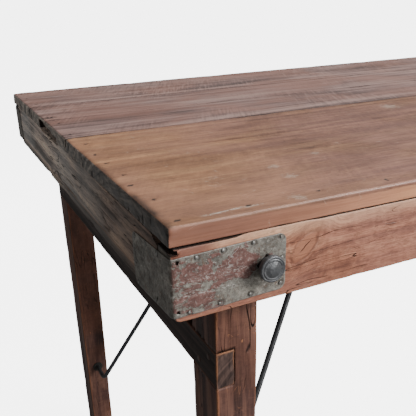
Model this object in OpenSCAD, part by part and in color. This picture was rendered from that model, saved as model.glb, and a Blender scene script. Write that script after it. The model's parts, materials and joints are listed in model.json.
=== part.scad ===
// Trestle-style folding table: plank top on a shallow apron, two leg frames that swing up
// under the top on coach bolts, and a bent iron stay that props each frame open.
// Millimetres, +Z up. The origin is on the floor under the middle of the top.

/* [Top] */
// Length of the top, along X
top_l = 1830; // [1760:10:2440]
// Width of the top, along Y
top_w = 750; // [680:10:900]
// Height of the upper face above the floor
table_h = 760; // [740:5:790]
// Thickness of the top boards
board_t = 17; // [15:1:18]

/* [Apron] */
// Height of the apron below the boards
apron_h = 65; // [64:1:75]
// Thickness of the long apron boards
apron_t = 28; // [24:1:30]
// Thickness of the end rails
end_rail_t = 24; // [18:1:26]

/* [Leg frames] */
// Width of a leg along X at the top
leg_w = 45; // [42:1:46]
// Width of a leg along X at the floor
leg_foot_w = 39; // [36:1:42]
// Depth of a leg along Y
leg_d = 58; // [50:1:64]
// Height of the rail that joins two legs
leg_rail_h = 41; // [35:1:50]
// Thickness of the rail that joins two legs
leg_rail_t = 20; // [16:1:24]

/* [Hardware] */
// Diameter of the coach bolt's shank
bolt_d = 10; // [8:0.5:12]
// Diameter of the coach bolt's round head
bolt_head_d = 24; // [20:1:28]
// Diameter of the stay's round bar
stay_d = 8; // [6:0.5:9]
// Thickness of the sheet iron corner plates
plate_t = 0.8; // [0.6:0.1:1.5]

/* [Hidden] */
$fn = 48;

// Places. The left end and the front are modelled, and the others are mirror images.
left_x = -top_l / 2;
front_y = -top_w / 2;
board_z = table_h - board_t;
end_inset = 1.5;
apron_inset = 2;
apron_x = left_x + end_inset;
apron_y = front_y + apron_inset;
apron_z = board_z - apron_h;
apron_in_y = apron_y + apron_t;
apron_corner_r = 8;

// Joints between the top boards, measured back from the front edge
board_joints = [0, 340, 465, 585, top_w];
nosing_r = 4;
joint_r = 0.6;

batten_w = 70;
batten_t = 17;
batten_z = board_z - batten_t;

// Pivot of a leg frame. It sits near the leg's inner face, so that the folded legs
// lie level with the apron's lower edge.
pivot_x = left_x + 87;
pivot_z = apron_z + 33;
leg_out_x = pivot_x - 33;
leg_top_z = pivot_z + 27;
leg_y = front_y + 33;
leg_in_y = leg_y + leg_d;
leg_rail_z = table_h - 191;
leg_chamfer = 2;
run_gap = 0.08;
side_gap = 0.3;

// Stay: a round bar bent to a trapezium. Its outturned ends turn in the legs and its
// cross bar lies in a catch under the top. It is drawn in its own plane, with the ends'
// axis along Y, and the arms meet the cross bar stay_joint short of its bends.
stay_foot = [left_x + 75, table_h - 560];
stay_head = [left_x + 351, table_h - 66];
stay_foot_y = 237;
stay_head_y = 108;
stay_end_y = 26 - leg_in_y;
stay_bend_r = 14;
stay_rise = stay_head - stay_foot;
stay_len = norm(stay_rise);
stay_tilt = atan2(stay_rise[1], stay_rise[0]);
stay_bend = [0, -stay_foot_y];
stay_corner = [stay_len, -stay_head_y];
stay_joint = 30;
stay_meet = stay_corner + stay_joint * (stay_bend - stay_corner) / norm(stay_bend - stay_corner);
// Straights run this far into their bends, which are this much thicker
bend_lap = 1;
bend_swell = 0.1;

// Catch: a strap bent to a Z. Its ledge falls towards the middle of the table, along the
// cross bar's way out, by less than iron needs to slide on iron.
catch_w = 110;
catch_t = 5;
catch_gap = stay_d / 2 + 0.5;
catch_slope = 13;
catch_flange = 20;
catch_lip = 22;

// Corner plates: length along the apron, length round the end, top and foot below the
// upper face, and the radius of the free corners
plate_front_l = 106;
plate_end_l = 91;
plate_back_end_l = 46;
plate_top_z = table_h - 24;
plate_foot_z = table_h - 77;
plate_corner_r = 7;
plate_hole_side = 13;

bolt_stand_off = 9;
bolt_head_rim = 3.5;
bolt_dome = 4;
bolt_neck_l = 6;
bolt_y = apron_y - plate_t - bolt_stand_off;
bolt_end_y = leg_in_y + 16;
spacer_t = leg_y - apron_in_y - side_gap;
washer_t = 2;
nut_t = 8;
nut_af = 17;

nail_head_d = 4.4;
nail_head_t = 0.9;
nail_d = 2;
tack_l = 14;
board_nail_l = 25;
board_nail_inset = 16;
board_nail_sink = 0.3;
// Nails through each end of the boards, measured back from the front edge
end_nail_y = [14, 70, 118, 155, 205, 245, 300, 362, 440, 490, 560, 612, 680, 733];

// Points on an arc about c
function arc(c, r, a0, a1, n = 6) =
    [for (i = [0 : n]) let (a = a0 + (a1 - a0) * i / n) c + r * [cos(a), sin(a)]];

// Outline of a w by h rectangle from [0, 0], with corner radii
// [lower left, lower right, upper right, upper left]
function rounded(w, h, r) = concat(
    arc([r[0], r[0]], r[0], 180, 270),
    arc([w - r[1], r[1]], r[1], 270, 360),
    arc([w - r[2], h - r[2]], r[2], 0, 90),
    arc([r[3], h - r[3]], r[3], 90, 180)
);

// An outline in Y and Z, drawn out along +X
module along_x(length) rotate([90, 0, 90]) linear_extrude(length) children();

// An outline in X and Z, drawn out along +Y
module along_y(length) translate([0, length, 0]) rotate([90, 0, 0]) linear_extrude(length) children();

// A cylinder along +Y from the origin
module rod_y(length, d) rotate([-90, 0, 0]) cylinder(h = length, d = d);

module right_end() mirror([1, 0, 0]) children();
module back_side() mirror([0, 1, 0]) children();

// Board i of the top. The outer long edges are nosed, and the inner ones barely eased.
module top_board(i) {
    y0 = board_joints[i];
    y1 = board_joints[i + 1];
    last = len(board_joints) - 2;
    front_r = i == 0 ? nosing_r : joint_r;
    back_r = i == last ? nosing_r : joint_r;
    color(i == 0 ? "#9a6a46" : "#7d6258")
        translate([left_x, front_y + y0, board_z])
            along_x(top_l) polygon(rounded(y1 - y0, board_t, [joint_r, joint_r, back_r, front_r]));
}

module apron() {
    color("#94573a") difference() {
        translate([apron_x, apron_y, apron_z])
            along_y(apron_t)
                polygon(rounded(top_l - 2 * end_inset, apron_h,
                    [apron_corner_r, apron_corner_r, joint_r, joint_r]));
        for (side = [-1, 1])
            translate([-side * pivot_x, apron_y - 1, pivot_z]) rod_y(apron_t + 2, bolt_d + 2 * run_gap);
    }
}

module end_rail() {
    color("#55483f")
        translate([apron_x, apron_in_y, apron_z])
            along_y(-2 * apron_in_y)
                polygon(rounded(end_rail_t, apron_h, [2, joint_r, joint_r, joint_r]));
}

module batten(x) {
    color("#6e4a35")
        translate([x - batten_w / 2, apron_in_y, batten_z])
            along_y(-2 * apron_in_y) polygon(rounded(batten_w, batten_t, [3, 3, joint_r, joint_r]));
}

// Two screws up into each board at each batten, clear of the catches
module batten_screws() {
    color("#4a4744")
        for (x = [stay_head[0], 0, -stay_head[0]], i = [0 : len(board_joints) - 2], s = [0.25, 0.8]) {
            y0 = max(front_y + board_joints[i], apron_in_y);
            y1 = min(front_y + board_joints[i + 1], -apron_in_y);
            translate([x + (x > 0 ? s - 0.5 : 0.5 - s) * 60, y0 + (y1 - y0) * s, batten_z]) {
                cylinder(h = 27, d = 3.5);
                translate([0, 0, -1.2]) cylinder(h = 1.2, d = 7.5);
            }
        }
}

// A nail driven down at the origin, its head just under the surface
module board_nail() {
    translate([0, 0, -board_nail_sink - nail_head_t]) cylinder(h = nail_head_t, d = nail_head_d);
    translate([0, 0, -board_nail_l]) cylinder(h = board_nail_l - board_nail_sink - nail_head_t, d = 2.6);
}

// Runs across both ends of the top
module end_nails() {
    color("#2e2a28")
        for (end = [0, 1], i = [0 : len(end_nail_y) - 1])
            mirror([end, 0, 0])
                translate([left_x + 14 + 3 * sin(137 * i), front_y + end_nail_y[i], table_h]) board_nail();
}

// Runs along both long edges of the top
module edge_nails() {
    count = round((top_l - 158) / 73);
    color("#2e2a28")
        for (side = [0, 1], i = [0 : count])
            mirror([0, side, 0])
                translate([left_x + 79 + i * (top_l - 158) / count, front_y + board_nail_inset + 4 * sin(97 * i), table_h])
                    board_nail();
}

// Sheet iron folded round the corner of the apron. end_l is its length on the end face.
module corner_plate(end_l) {
    h = plate_top_z - plate_foot_z;
    free_r = [joint_r, plate_corner_r, plate_corner_r, joint_r];
    color("#77716a") difference() {
        union() {
            translate([apron_x - plate_t, apron_y - plate_t, plate_foot_z])
                along_y(plate_t) polygon(rounded(plate_front_l, h, free_r));
            translate([apron_x - plate_t, apron_y - plate_t, plate_foot_z])
                along_x(plate_t) polygon(rounded(end_l, h, free_r));
        }
        translate([pivot_x, apron_y - plate_t / 2, pivot_z]) rotate([0, 42, 0])
            cube([plate_hole_side, 3, plate_hole_side], center = true);
    }
}

// Tack positions on the apron face and on the end face, measured from the corner and
// from the upper face
apron_tacks = [
    [22, 27], [46, 26.5], [74, 26.5], [101, 27.5], [102, 47], [101, 71], [71, 73.5], [42, 74], [14, 74.5]
];
function end_tacks(end_l) = [
    for (s = [0.3, 0.6, 0.92]) [end_l * s, 27],
    [end_l * 0.92, 52],
    for (s = [0.4, 0.9]) [end_l * s, 74]
];

module tack() {
    cylinder(h = nail_head_t, d = nail_head_d);
    translate([0, 0, -tack_l]) cylinder(h = tack_l, d = nail_d);
}

module plate_nails(end_l) {
    color("#9a9690") {
        for (t = apron_tacks)
            translate([apron_x + t[0], apron_y - plate_t, table_h - t[1]]) rotate([90, 0, 0]) tack();
        for (t = end_tacks(end_l))
            translate([apron_x - plate_t, apron_y + t[0], table_h - t[1]]) rotate([0, -90, 0]) tack();
    }
}

// Coach bolt along +Y: round head with a rolled rim and a low dome, square neck, shank
module pivot_bolt() {
    r = bolt_head_d / 2;
    // Radius of the sphere that the dome is cut from
    dome_r = (pow(r - 1.5, 2) + bolt_dome * bolt_dome) / (2 * bolt_dome);
    dome_a = asin((r - 1.5) / dome_r);
    profile = concat(
        [[0, 0], [r - 1, 0], [r, 1], [r, bolt_head_rim - 0.8], [r - 0.8, bolt_head_rim]],
        arc([0, bolt_head_rim + bolt_dome - dome_r], dome_r, 90 - dome_a, 90, 8)
    );
    color("#3b3d40") translate([pivot_x, bolt_y, pivot_z]) {
        rotate([90, 0, 0]) rotate_extrude() polygon(profile);
        translate([-bolt_d / 2 - 0.2, 0, -bolt_d / 2 - 0.2]) cube([bolt_d + 0.4, bolt_neck_l, bolt_d + 0.4]);
        rod_y(bolt_end_y - bolt_y, bolt_d);
    }
}

module ring_y(d, bore, t) {
    difference() {
        rod_y(t, d);
        translate([0, -1, 0]) rod_y(t + 2, bore);
    }
}

module spacer() {
    color("#4a4744") translate([pivot_x, apron_in_y, pivot_z]) ring_y(26, bolt_d + 2 * run_gap, spacer_t);
}

module nut_washer() {
    color("#4a4744")
        translate([pivot_x, leg_in_y + side_gap, pivot_z]) ring_y(24, bolt_d + 2 * run_gap, washer_t);
}

module nut() {
    color("#3b3d40") translate([pivot_x, leg_in_y + side_gap + washer_t, pivot_z]) difference() {
        rotate([-90, 0, 0]) cylinder(h = nut_t, r = nut_af / 2 / cos(30), $fn = 6);
        translate([0, -1, 0]) rod_y(nut_t + 2, bolt_d + 2 * run_gap);
    }
}

// One leg: straight outer face, tapered inner face, a lap for the rail let in flush,
// a bore for the pivot bolt and a blind hole for the end of the stay
module leg() {
    lap = 0.1;
    color("#5d3826") difference() {
        translate([leg_out_x, leg_y, 0])
            along_y(leg_d) polygon([
                [leg_chamfer, 0], [leg_foot_w - leg_chamfer, 0], [leg_foot_w, leg_chamfer],
                [leg_w, leg_rail_z], [leg_w, leg_top_z - 3 * leg_chamfer],
                [leg_w - 3 * leg_chamfer, leg_top_z], [leg_chamfer, leg_top_z],
                [0, leg_top_z - leg_chamfer], [0, leg_chamfer]
            ]);
        translate([leg_out_x - 1, leg_y - 1, leg_rail_z - lap / 2])
            cube([leg_rail_t + 1 + lap, leg_d + 2, leg_rail_h + lap]);
        translate([pivot_x, leg_y - 1, pivot_z]) rod_y(leg_d + 2, bolt_d + 2 * run_gap);
        translate([stay_foot[0], -stay_end_y - 1, stay_foot[1]]) rod_y(leg_d, stay_d + 2 * run_gap);
    }
}

module leg_rail() {
    color("#4d3325")
        translate([leg_out_x, leg_y, leg_rail_z])
            along_y(-2 * leg_y) polygon(rounded(leg_rail_t, leg_rail_h, [1, 1, 1, 1]));
}

// Two wooden pegs through the lap into each leg
module rail_pegs() {
    color("#8a5a3a")
        for (side = [-1, 1], s = [0.3, 0.7])
            translate([leg_out_x - 0.5, side * (leg_y + leg_d * (1 - s)), leg_rail_z + leg_rail_h * s])
                rotate([0, 90, 0]) cylinder(h = leg_w - 8, d = 7);
}

module stay_bushes() {
    color("#2b2a29")
        for (side = [0, 1])
            mirror([0, side, 0]) translate([stay_foot[0], leg_in_y, stay_foot[1]])
                ring_y(20, stay_d + 4 * run_gap, 1.6);
}

// Heading of the leg of a plane path that starts at point i
function heading(p, i) = atan2(p[i + 1][1] - p[i][1], p[i + 1][0] - p[i][0]);
// Turn at inner point i, between -180 and 180
function turn(p, i) = let (t = heading(p, i) - heading(p, i - 1)) t > 180 ? t - 360 : t < -180 ? t + 360 : t;
// Length that a bend of radius r takes off each leg at point i
function trim(p, i, r) = i == 0 || i == len(p) - 1 ? 0 : r * tan(abs(turn(p, i)) / 2);

// A round bar bent in the plane Z = 0 along the points of p
module bent_bar(p, r, d) {
    last = len(p) - 1;
    for (i = [0 : last - 1]) {
        from = i == 0 ? 0 : trim(p, i, r) - bend_lap;
        to = i == last - 1 ? 0 : trim(p, i + 1, r) - bend_lap;
        translate([p[i][0], p[i][1], 0]) rotate([0, 0, heading(p, i)]) translate([from, 0, 0])
            rotate([0, 90, 0]) cylinder(h = norm(p[i + 1] - p[i]) - from - to, d = d);
    }
    for (i = [1 : last - 1]) {
        side = sign(turn(p, i));
        start = side > 0 ? -90 : turn(p, i) + 90;
        translate([p[i][0], p[i][1], 0]) rotate([0, 0, heading(p, i - 1)])
            translate([-trim(p, i, r), side * r, 0]) rotate([0, 0, start])
                rotate_extrude(angle = abs(turn(p, i))) translate([r, 0]) circle(d = d + bend_swell);
    }
}

// Stands the stay's own plane up at its tilt
module stay_plane() {
    color("#33363a")
        translate([stay_foot[0], 0, stay_foot[1]]) rotate([0, -stay_tilt, 0]) children();
}

module stay_arm() {
    stay_plane() bent_bar([[0, -stay_end_y], stay_bend, stay_meet], stay_bend_r, stay_d);
}

module stay_cross_bar() {
    far_corner = [stay_corner[0], -stay_corner[1]];
    far_meet = [stay_meet[0], -stay_meet[1]];
    stay_plane() bent_bar([stay_meet, stay_corner, far_corner, far_meet], stay_bend_r, stay_d);
}

// Height of the ledge's surface at x from the cross bar's centre, at a depth below the bar
function ledge(x, depth) = -depth / cos(catch_slope) - x * tan(catch_slope);

module stay_catch() {
    g = catch_gap;
    o = g + catch_t;
    top = batten_z - stay_head[1];
    color("#33363a")
        translate([stay_head[0], -catch_w / 2, stay_head[1]]) along_y(catch_w) polygon([
            [-o - catch_flange, top], [-o - catch_flange, top - catch_t], [-o, top - catch_t],
            [-o, ledge(-o, o)], [catch_lip, ledge(catch_lip, o)], [catch_lip, ledge(catch_lip, g)],
            [-g, ledge(-g, g)], [-g, top]
        ]);
}

module catch_screws() {
    color("#4a4744")
        for (y = [-40, 0, 40])
            translate([stay_head[0] - catch_gap - catch_t - catch_flange / 2, y, batten_z - catch_t]) {
                cylinder(h = catch_t + 13, d = 4);
                translate([0, 0, -1.6]) cylinder(h = 1.6, d = 8.5);
            }
}

top_board(0);  // front_top_board
top_board(1);  // front_middle_board
top_board(2);  // back_middle_board
top_board(3);  // back_top_board
apron();  // front_apron
back_side() apron();  // back_apron
end_rail();  // left_end_rail
right_end() end_rail();  // right_end_rail
batten(stay_head[0]);  // left_batten
batten(0);  // centre_batten
batten(-stay_head[0]);  // right_batten
batten_screws();
end_nails();
edge_nails();
corner_plate(plate_end_l);  // front_left_corner_plate
right_end() corner_plate(plate_end_l);  // front_right_corner_plate
back_side() corner_plate(plate_back_end_l);  // back_left_corner_plate
right_end() back_side() corner_plate(plate_back_end_l);  // back_right_corner_plate
plate_nails(plate_end_l);  // front_left_plate_nails
right_end() plate_nails(plate_end_l);  // front_right_plate_nails
back_side() plate_nails(plate_back_end_l);  // back_left_plate_nails
right_end() back_side() plate_nails(plate_back_end_l);  // back_right_plate_nails
pivot_bolt();  // front_left_pivot_bolt
right_end() pivot_bolt();  // front_right_pivot_bolt
back_side() pivot_bolt();  // back_left_pivot_bolt
right_end() back_side() pivot_bolt();  // back_right_pivot_bolt
spacer();  // front_left_spacer
right_end() spacer();  // front_right_spacer
back_side() spacer();  // back_left_spacer
right_end() back_side() spacer();  // back_right_spacer
nut_washer();  // front_left_washer
right_end() nut_washer();  // front_right_washer
back_side() nut_washer();  // back_left_washer
right_end() back_side() nut_washer();  // back_right_washer
nut();  // front_left_nut
right_end() nut();  // front_right_nut
back_side() nut();  // back_left_nut
right_end() back_side() nut();  // back_right_nut
stay_catch();  // left_stay_catch
right_end() stay_catch();  // right_stay_catch
catch_screws();  // left_catch_screws
right_end() catch_screws();  // right_catch_screws
leg();  // front_left_leg
back_side() leg();  // back_left_leg
right_end() leg();  // front_right_leg
right_end() back_side() leg();  // back_right_leg
leg_rail();  // left_leg_rail
right_end() leg_rail();  // right_leg_rail
rail_pegs();  // left_rail_pegs
right_end() rail_pegs();  // right_rail_pegs
stay_bushes();  // left_stay_bushes
right_end() stay_bushes();  // right_stay_bushes
stay_arm();  // front_left_stay_arm
back_side() stay_arm();  // back_left_stay_arm
stay_cross_bar();  // left_stay_cross_bar
right_end() stay_arm();  // front_right_stay_arm
right_end() back_side() stay_arm();  // back_right_stay_arm
right_end() stay_cross_bar();  // right_stay_cross_bar
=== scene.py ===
"""The looks of the folding table: worn boards, tin corner plates, bolts and bars round the CAD frame.

Metres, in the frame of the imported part: the floor is z = 0 and the origin is under the middle of the top.
"""
import json
import math

import bpy
import numpy as np
from mathutils import Matrix, Vector

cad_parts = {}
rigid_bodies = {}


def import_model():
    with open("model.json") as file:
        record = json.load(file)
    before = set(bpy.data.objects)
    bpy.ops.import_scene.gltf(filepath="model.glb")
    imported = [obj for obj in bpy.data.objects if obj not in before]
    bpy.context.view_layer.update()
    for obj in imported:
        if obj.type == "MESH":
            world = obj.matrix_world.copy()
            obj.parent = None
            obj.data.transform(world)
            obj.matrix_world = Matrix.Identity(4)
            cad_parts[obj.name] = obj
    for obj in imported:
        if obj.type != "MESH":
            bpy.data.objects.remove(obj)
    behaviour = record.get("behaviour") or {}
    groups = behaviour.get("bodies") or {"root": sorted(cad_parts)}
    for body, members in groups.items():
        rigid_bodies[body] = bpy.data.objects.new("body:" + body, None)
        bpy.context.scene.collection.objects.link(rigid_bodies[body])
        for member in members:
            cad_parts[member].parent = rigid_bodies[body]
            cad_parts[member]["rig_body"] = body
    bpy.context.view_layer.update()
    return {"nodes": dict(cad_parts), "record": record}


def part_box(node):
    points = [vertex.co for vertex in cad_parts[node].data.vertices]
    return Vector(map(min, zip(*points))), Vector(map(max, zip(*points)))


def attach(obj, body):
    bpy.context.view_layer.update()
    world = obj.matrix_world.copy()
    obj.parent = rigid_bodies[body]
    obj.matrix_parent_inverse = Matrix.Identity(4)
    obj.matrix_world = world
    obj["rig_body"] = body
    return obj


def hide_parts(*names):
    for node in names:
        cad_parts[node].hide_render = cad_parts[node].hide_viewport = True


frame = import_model()

MM = 0.001
TOP_LO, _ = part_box("front_top_board")
_, TOP_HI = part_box("back_top_board")
LEFT_X = TOP_LO.x
FRONT_Y = TOP_LO.y
UPPER_Z = TOP_HI.z
ENDS = {"left": 1, "right": -1}
SIDES = {"front": 1, "back": -1}


# ---- noise

def lattice_value(cell, seed):
    """A repeatable value from -1 to 1 for each whole-numbered cell corner."""
    mixed = cell[:, 0] * 374761393 + cell[:, 1] * 668265263 + cell[:, 2] * 2147483647 + seed * 974634777
    mixed = mixed & 0xFFFFFFFF
    mixed = ((mixed ^ (mixed >> 13)) * 1274126177) & 0xFFFFFFFF
    mixed = mixed ^ (mixed >> 16)
    return (mixed & 0xFFFF) / 32767.5 - 1


def value_noise(points, seed):
    """Smooth noise from -1 to 1, with one bump per unit."""
    cell = np.floor(points).astype(np.int64)
    part = points - cell
    part = part * part * (3 - 2 * part)
    total = np.zeros(len(points))
    for corner in range(8):
        step = np.array([corner & 1, corner >> 1 & 1, corner >> 2 & 1])
        weight = np.prod(np.where(step, part, 1 - part), axis=1)
        total += weight * lattice_value(cell + step, seed)
    return total


def fractal(points, sizes, seed, octaves=3):
    """Layered noise. sizes are the sizes of its largest bumps along X, Y and Z, or one size for all."""
    scaled = points / np.asarray(sizes)
    total = np.zeros(len(points))
    for octave in range(octaves):
        total += value_noise(scaled * 2 ** octave + 17.3 * octave, seed + octave) / 2 ** octave
    return total / (2 - 0.5 ** (octaves - 1))


def along(grain, length, width):
    """Sizes of a streak that runs along the grain, which is axis 0, 1 or 2."""
    sizes = [width] * 3
    sizes[grain] = length
    return sizes


def ease(value, low, high):
    """0 at low, 1 at high and a smooth rise between them."""
    share = np.clip((value - low) / (high - low), 0, 1)
    return share * share * (3 - 2 * share)


# ---- meshes

def corners(node):
    """The lowest and highest corner of a CAD node, as arrays."""
    return [np.array(v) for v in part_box(node)]


def cuts(low, high, step, radius, fine_until=None, fine_step=None):
    """Planes from low to high: close together in the rounded edges, step apart between them."""
    rim = radius * np.array([0, 0.2, 0.45, 0.75, 1.1, 1.8])
    start, stop = low + rim[-1], high - rim[-1]
    spans = [(start, stop, step)]
    if fine_until is not None:
        spans = [(start, fine_until, fine_step), (fine_until, stop, step)]
    planes = [low + rim[:-1]]
    for a, b, pitch in spans:
        count = max(1, math.ceil((b - a) / pitch))
        planes.append(np.linspace(a, b, count, endpoint=False))
    planes.append([stop])
    planes.append(high - rim[-2::-1])
    return np.concatenate(planes)


def lattice_block(planes, keep=None):
    """Points and quads of a block cut at three sets of planes, without the cells that keep rejects."""
    counts = [len(p) - 1 for p in planes]
    filled = np.zeros([n + 2 for n in counts], bool)
    middles = [(p[1:] + p[:-1]) / 2 for p in planes]
    inside = True if keep is None else keep(*np.meshgrid(*middles, indexing="ij"))
    filled[1:-1, 1:-1, 1:-1] = inside
    quads = []
    for axis in range(3):
        turned = np.moveaxis(filled, axis, 0)
        lower, upper = turned[:-1], turned[1:]
        for solid, empty, backwards in ((lower, upper, axis == 1), (upper, lower, axis != 1)):
            plane, j, k = np.argwhere(solid & ~empty).T
            loop = [(j - 1, k - 1), (j, k - 1), (j, k), (j - 1, k)]
            if backwards:
                loop.reverse()
            corners = [np.insert(np.stack(c, 1), axis, plane, axis=1) for c in loop]
            quads.append(np.stack(corners, 1))
    grid = np.concatenate(quads)
    index = (grid[..., 0] * (counts[1] + 1) + grid[..., 1]) * (counts[2] + 1) + grid[..., 2]
    used, quad_index = np.unique(index.ravel(), return_inverse=True)
    i, rest = np.divmod(used, (counts[1] + 1) * (counts[2] + 1))
    j, k = np.divmod(rest, counts[2] + 1)
    points = np.stack([planes[0][i], planes[1][j], planes[2][k]], 1)
    return points, quad_index.reshape(-1, 4)


def round_edges(points, low, high, radius):
    """Warps a block so that its edges have this radius, which may differ from point to point."""
    reach = np.broadcast_to(np.asarray(radius), (len(points),))[:, None]
    reach = np.minimum(reach, (high - low).min() * 0.49)
    core = np.clip(points, low + reach, high - reach)
    out = points - core
    length = np.linalg.norm(out, axis=1, keepdims=True)
    longest = np.abs(out).max(1, keepdims=True)
    return core + out * np.divide(longest, length, out=np.ones_like(length), where=length > 0)


def point_normals(points, quads):
    a, b, c, d = (points[quads[:, n]] for n in range(4))
    face = np.cross(c - a, d - b)
    total = np.zeros_like(points)
    for n in range(4):
        np.add.at(total, quads[:, n], face)
    return total / np.maximum(np.linalg.norm(total, axis=1, keepdims=True), 1e-12)


def as_lists(faces):
    return faces.tolist() if isinstance(faces, np.ndarray) else faces


def make_object(name, points, faces, material, attributes=None):
    """A smooth-shaded object. attributes are values for each point that its material reads."""
    mesh = bpy.data.meshes.new(name)
    mesh.from_pydata(points.tolist(), [], as_lists(faces))
    mesh.shade_smooth()
    for label, values in (attributes or {}).items():
        mesh.attributes.new(label, "FLOAT", "POINT").data.foreach_set("value", values.astype(np.float32))
    mesh.materials.append(material)
    mesh.update()
    made = bpy.data.objects.new(name, mesh)
    bpy.context.scene.collection.objects.link(made)
    return made


def make_piece(name, points, faces, body, slot, replaces, attributes=None):
    """A piece that rides on a body in place of some of its CAD nodes."""
    piece = make_object(name, points, faces, MATERIALS[slot], attributes)
    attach(piece, body)
    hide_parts(*replaces)


def islands(node):
    """Centre, lowest and highest corner of each separate solid in a CAD node."""
    mesh = frame["nodes"][node].data
    co = np.empty(len(mesh.vertices) * 3)
    mesh.vertices.foreach_get("co", co)
    co = co.reshape(-1, 3)
    _, key = np.unique(np.round(co / 2e-5), axis=0, return_inverse=True)
    key = key.ravel()
    edges = np.empty(len(mesh.edges) * 2, int)
    mesh.edges.foreach_get("vertices", edges)
    ends = key[edges.reshape(-1, 2)]
    label = np.arange(key.max() + 1)
    while True:
        low = np.minimum(label[ends[:, 0]], label[ends[:, 1]])
        before = label.copy()
        np.minimum.at(label, ends[:, 0], low)
        np.minimum.at(label, ends[:, 1], low)
        label = label[label]
        if (label == before).all():
            break
    found = []
    for each in np.unique(label):
        part = co[label[key] == each]
        found.append(((part.min(0) + part.max(0)) / 2, part.min(0), part.max(0)))
    return found


def tube_faces(rows, segments):
    """Quads between rows of points that go round a tube, and a face at each of its ends."""
    faces = []
    for row in range(rows - 1):
        base = row * segments
        for n in range(segments):
            m = (n + 1) % segments
            faces.append([base + n, base + m, base + segments + m, base + segments + n])
    faces.append(list(range(segments))[::-1])
    faces.append([(rows - 1) * segments + n for n in range(segments)])
    return faces


def uneven(points, size, amount, seed):
    """Small shifts that roughen a turned or drawn surface."""
    return amount * np.stack([fractal(points, size, seed + n) for n in range(3)], 1)


def lathe(profile, segments, at, direction, seed=0, wobble=0.0):
    """Points and faces of a profile of (radius, height) turned about a direction from a point."""
    profile = np.asarray(profile, float)
    turn = np.linspace(0, 2 * math.pi, segments, endpoint=False)
    rings = []
    for radius, height in profile:
        rings.append(np.stack([radius * np.cos(turn), radius * np.sin(turn), np.full(segments, height)], 1))
    points = np.concatenate(rings)
    points += uneven(points, 2 * MM, wobble, seed)
    spin = Vector((0, 0, 1)).rotation_difference(Vector(direction)).to_matrix()
    points = points @ np.array(spin).T + np.asarray(at, float)
    return points, tube_faces(len(profile), segments)


def rod(path, bend, radius, sides, seed):
    """Points and faces of a round bar along a path whose corners are bent to a radius."""
    path = [np.array(p, float) for p in path]
    line = [path[0]]
    for before, corner, after in zip(path, path[1:], path[2:]):
        a = (before - corner) / np.linalg.norm(before - corner)
        b = (after - corner) / np.linalg.norm(after - corner)
        half = math.acos(np.clip(a @ b, -1, 1)) / 2
        centre = corner + (a + b) / np.linalg.norm(a + b) * bend / math.sin(half)
        start = corner + a * bend / math.tan(half) - centre
        stop = corner + b * bend / math.tan(half) - centre
        swept = math.pi - 2 * half
        for share in np.linspace(0, 1, 9):
            spoke = math.sin((1 - share) * swept) * start + math.sin(share * swept) * stop
            line.append(centre + spoke / math.sin(swept))
    line.append(path[-1])
    middle = [line[0]]
    for a, b in zip(line, line[1:]):
        count = max(1, round(np.linalg.norm(b - a) / 0.008))
        middle += [a + (b - a) * n / count for n in range(1, count + 1)]
    middle = np.array(middle)
    ahead = np.gradient(middle, axis=0)
    ahead /= np.linalg.norm(ahead, axis=1, keepdims=True)
    side = np.cross(ahead[0], (0.0, 0.0, 1.0))
    turn = np.linspace(0, 2 * math.pi, sides, endpoint=False)
    rings = []
    for at, way in zip(middle, ahead):
        side = side - way * (side @ way)
        side /= np.linalg.norm(side)
        across = np.cross(way, side)
        rings.append(at + radius * (np.outer(np.cos(turn), side) + np.outer(np.sin(turn), across)))
    points = np.concatenate(rings)
    points += uneven(points, 6 * MM, 0.1 * MM, seed)
    return points, tube_faces(len(middle), sides)


def join(parts):
    """One set of points and faces out of several."""
    points, faces, base = [], [], 0
    for part_points, part_faces in parts:
        points.append(part_points)
        faces += [[base + n for n in face] for face in as_lists(part_faces)]
        base += len(part_points)
    return np.concatenate(points), faces


# ---- materials

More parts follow.
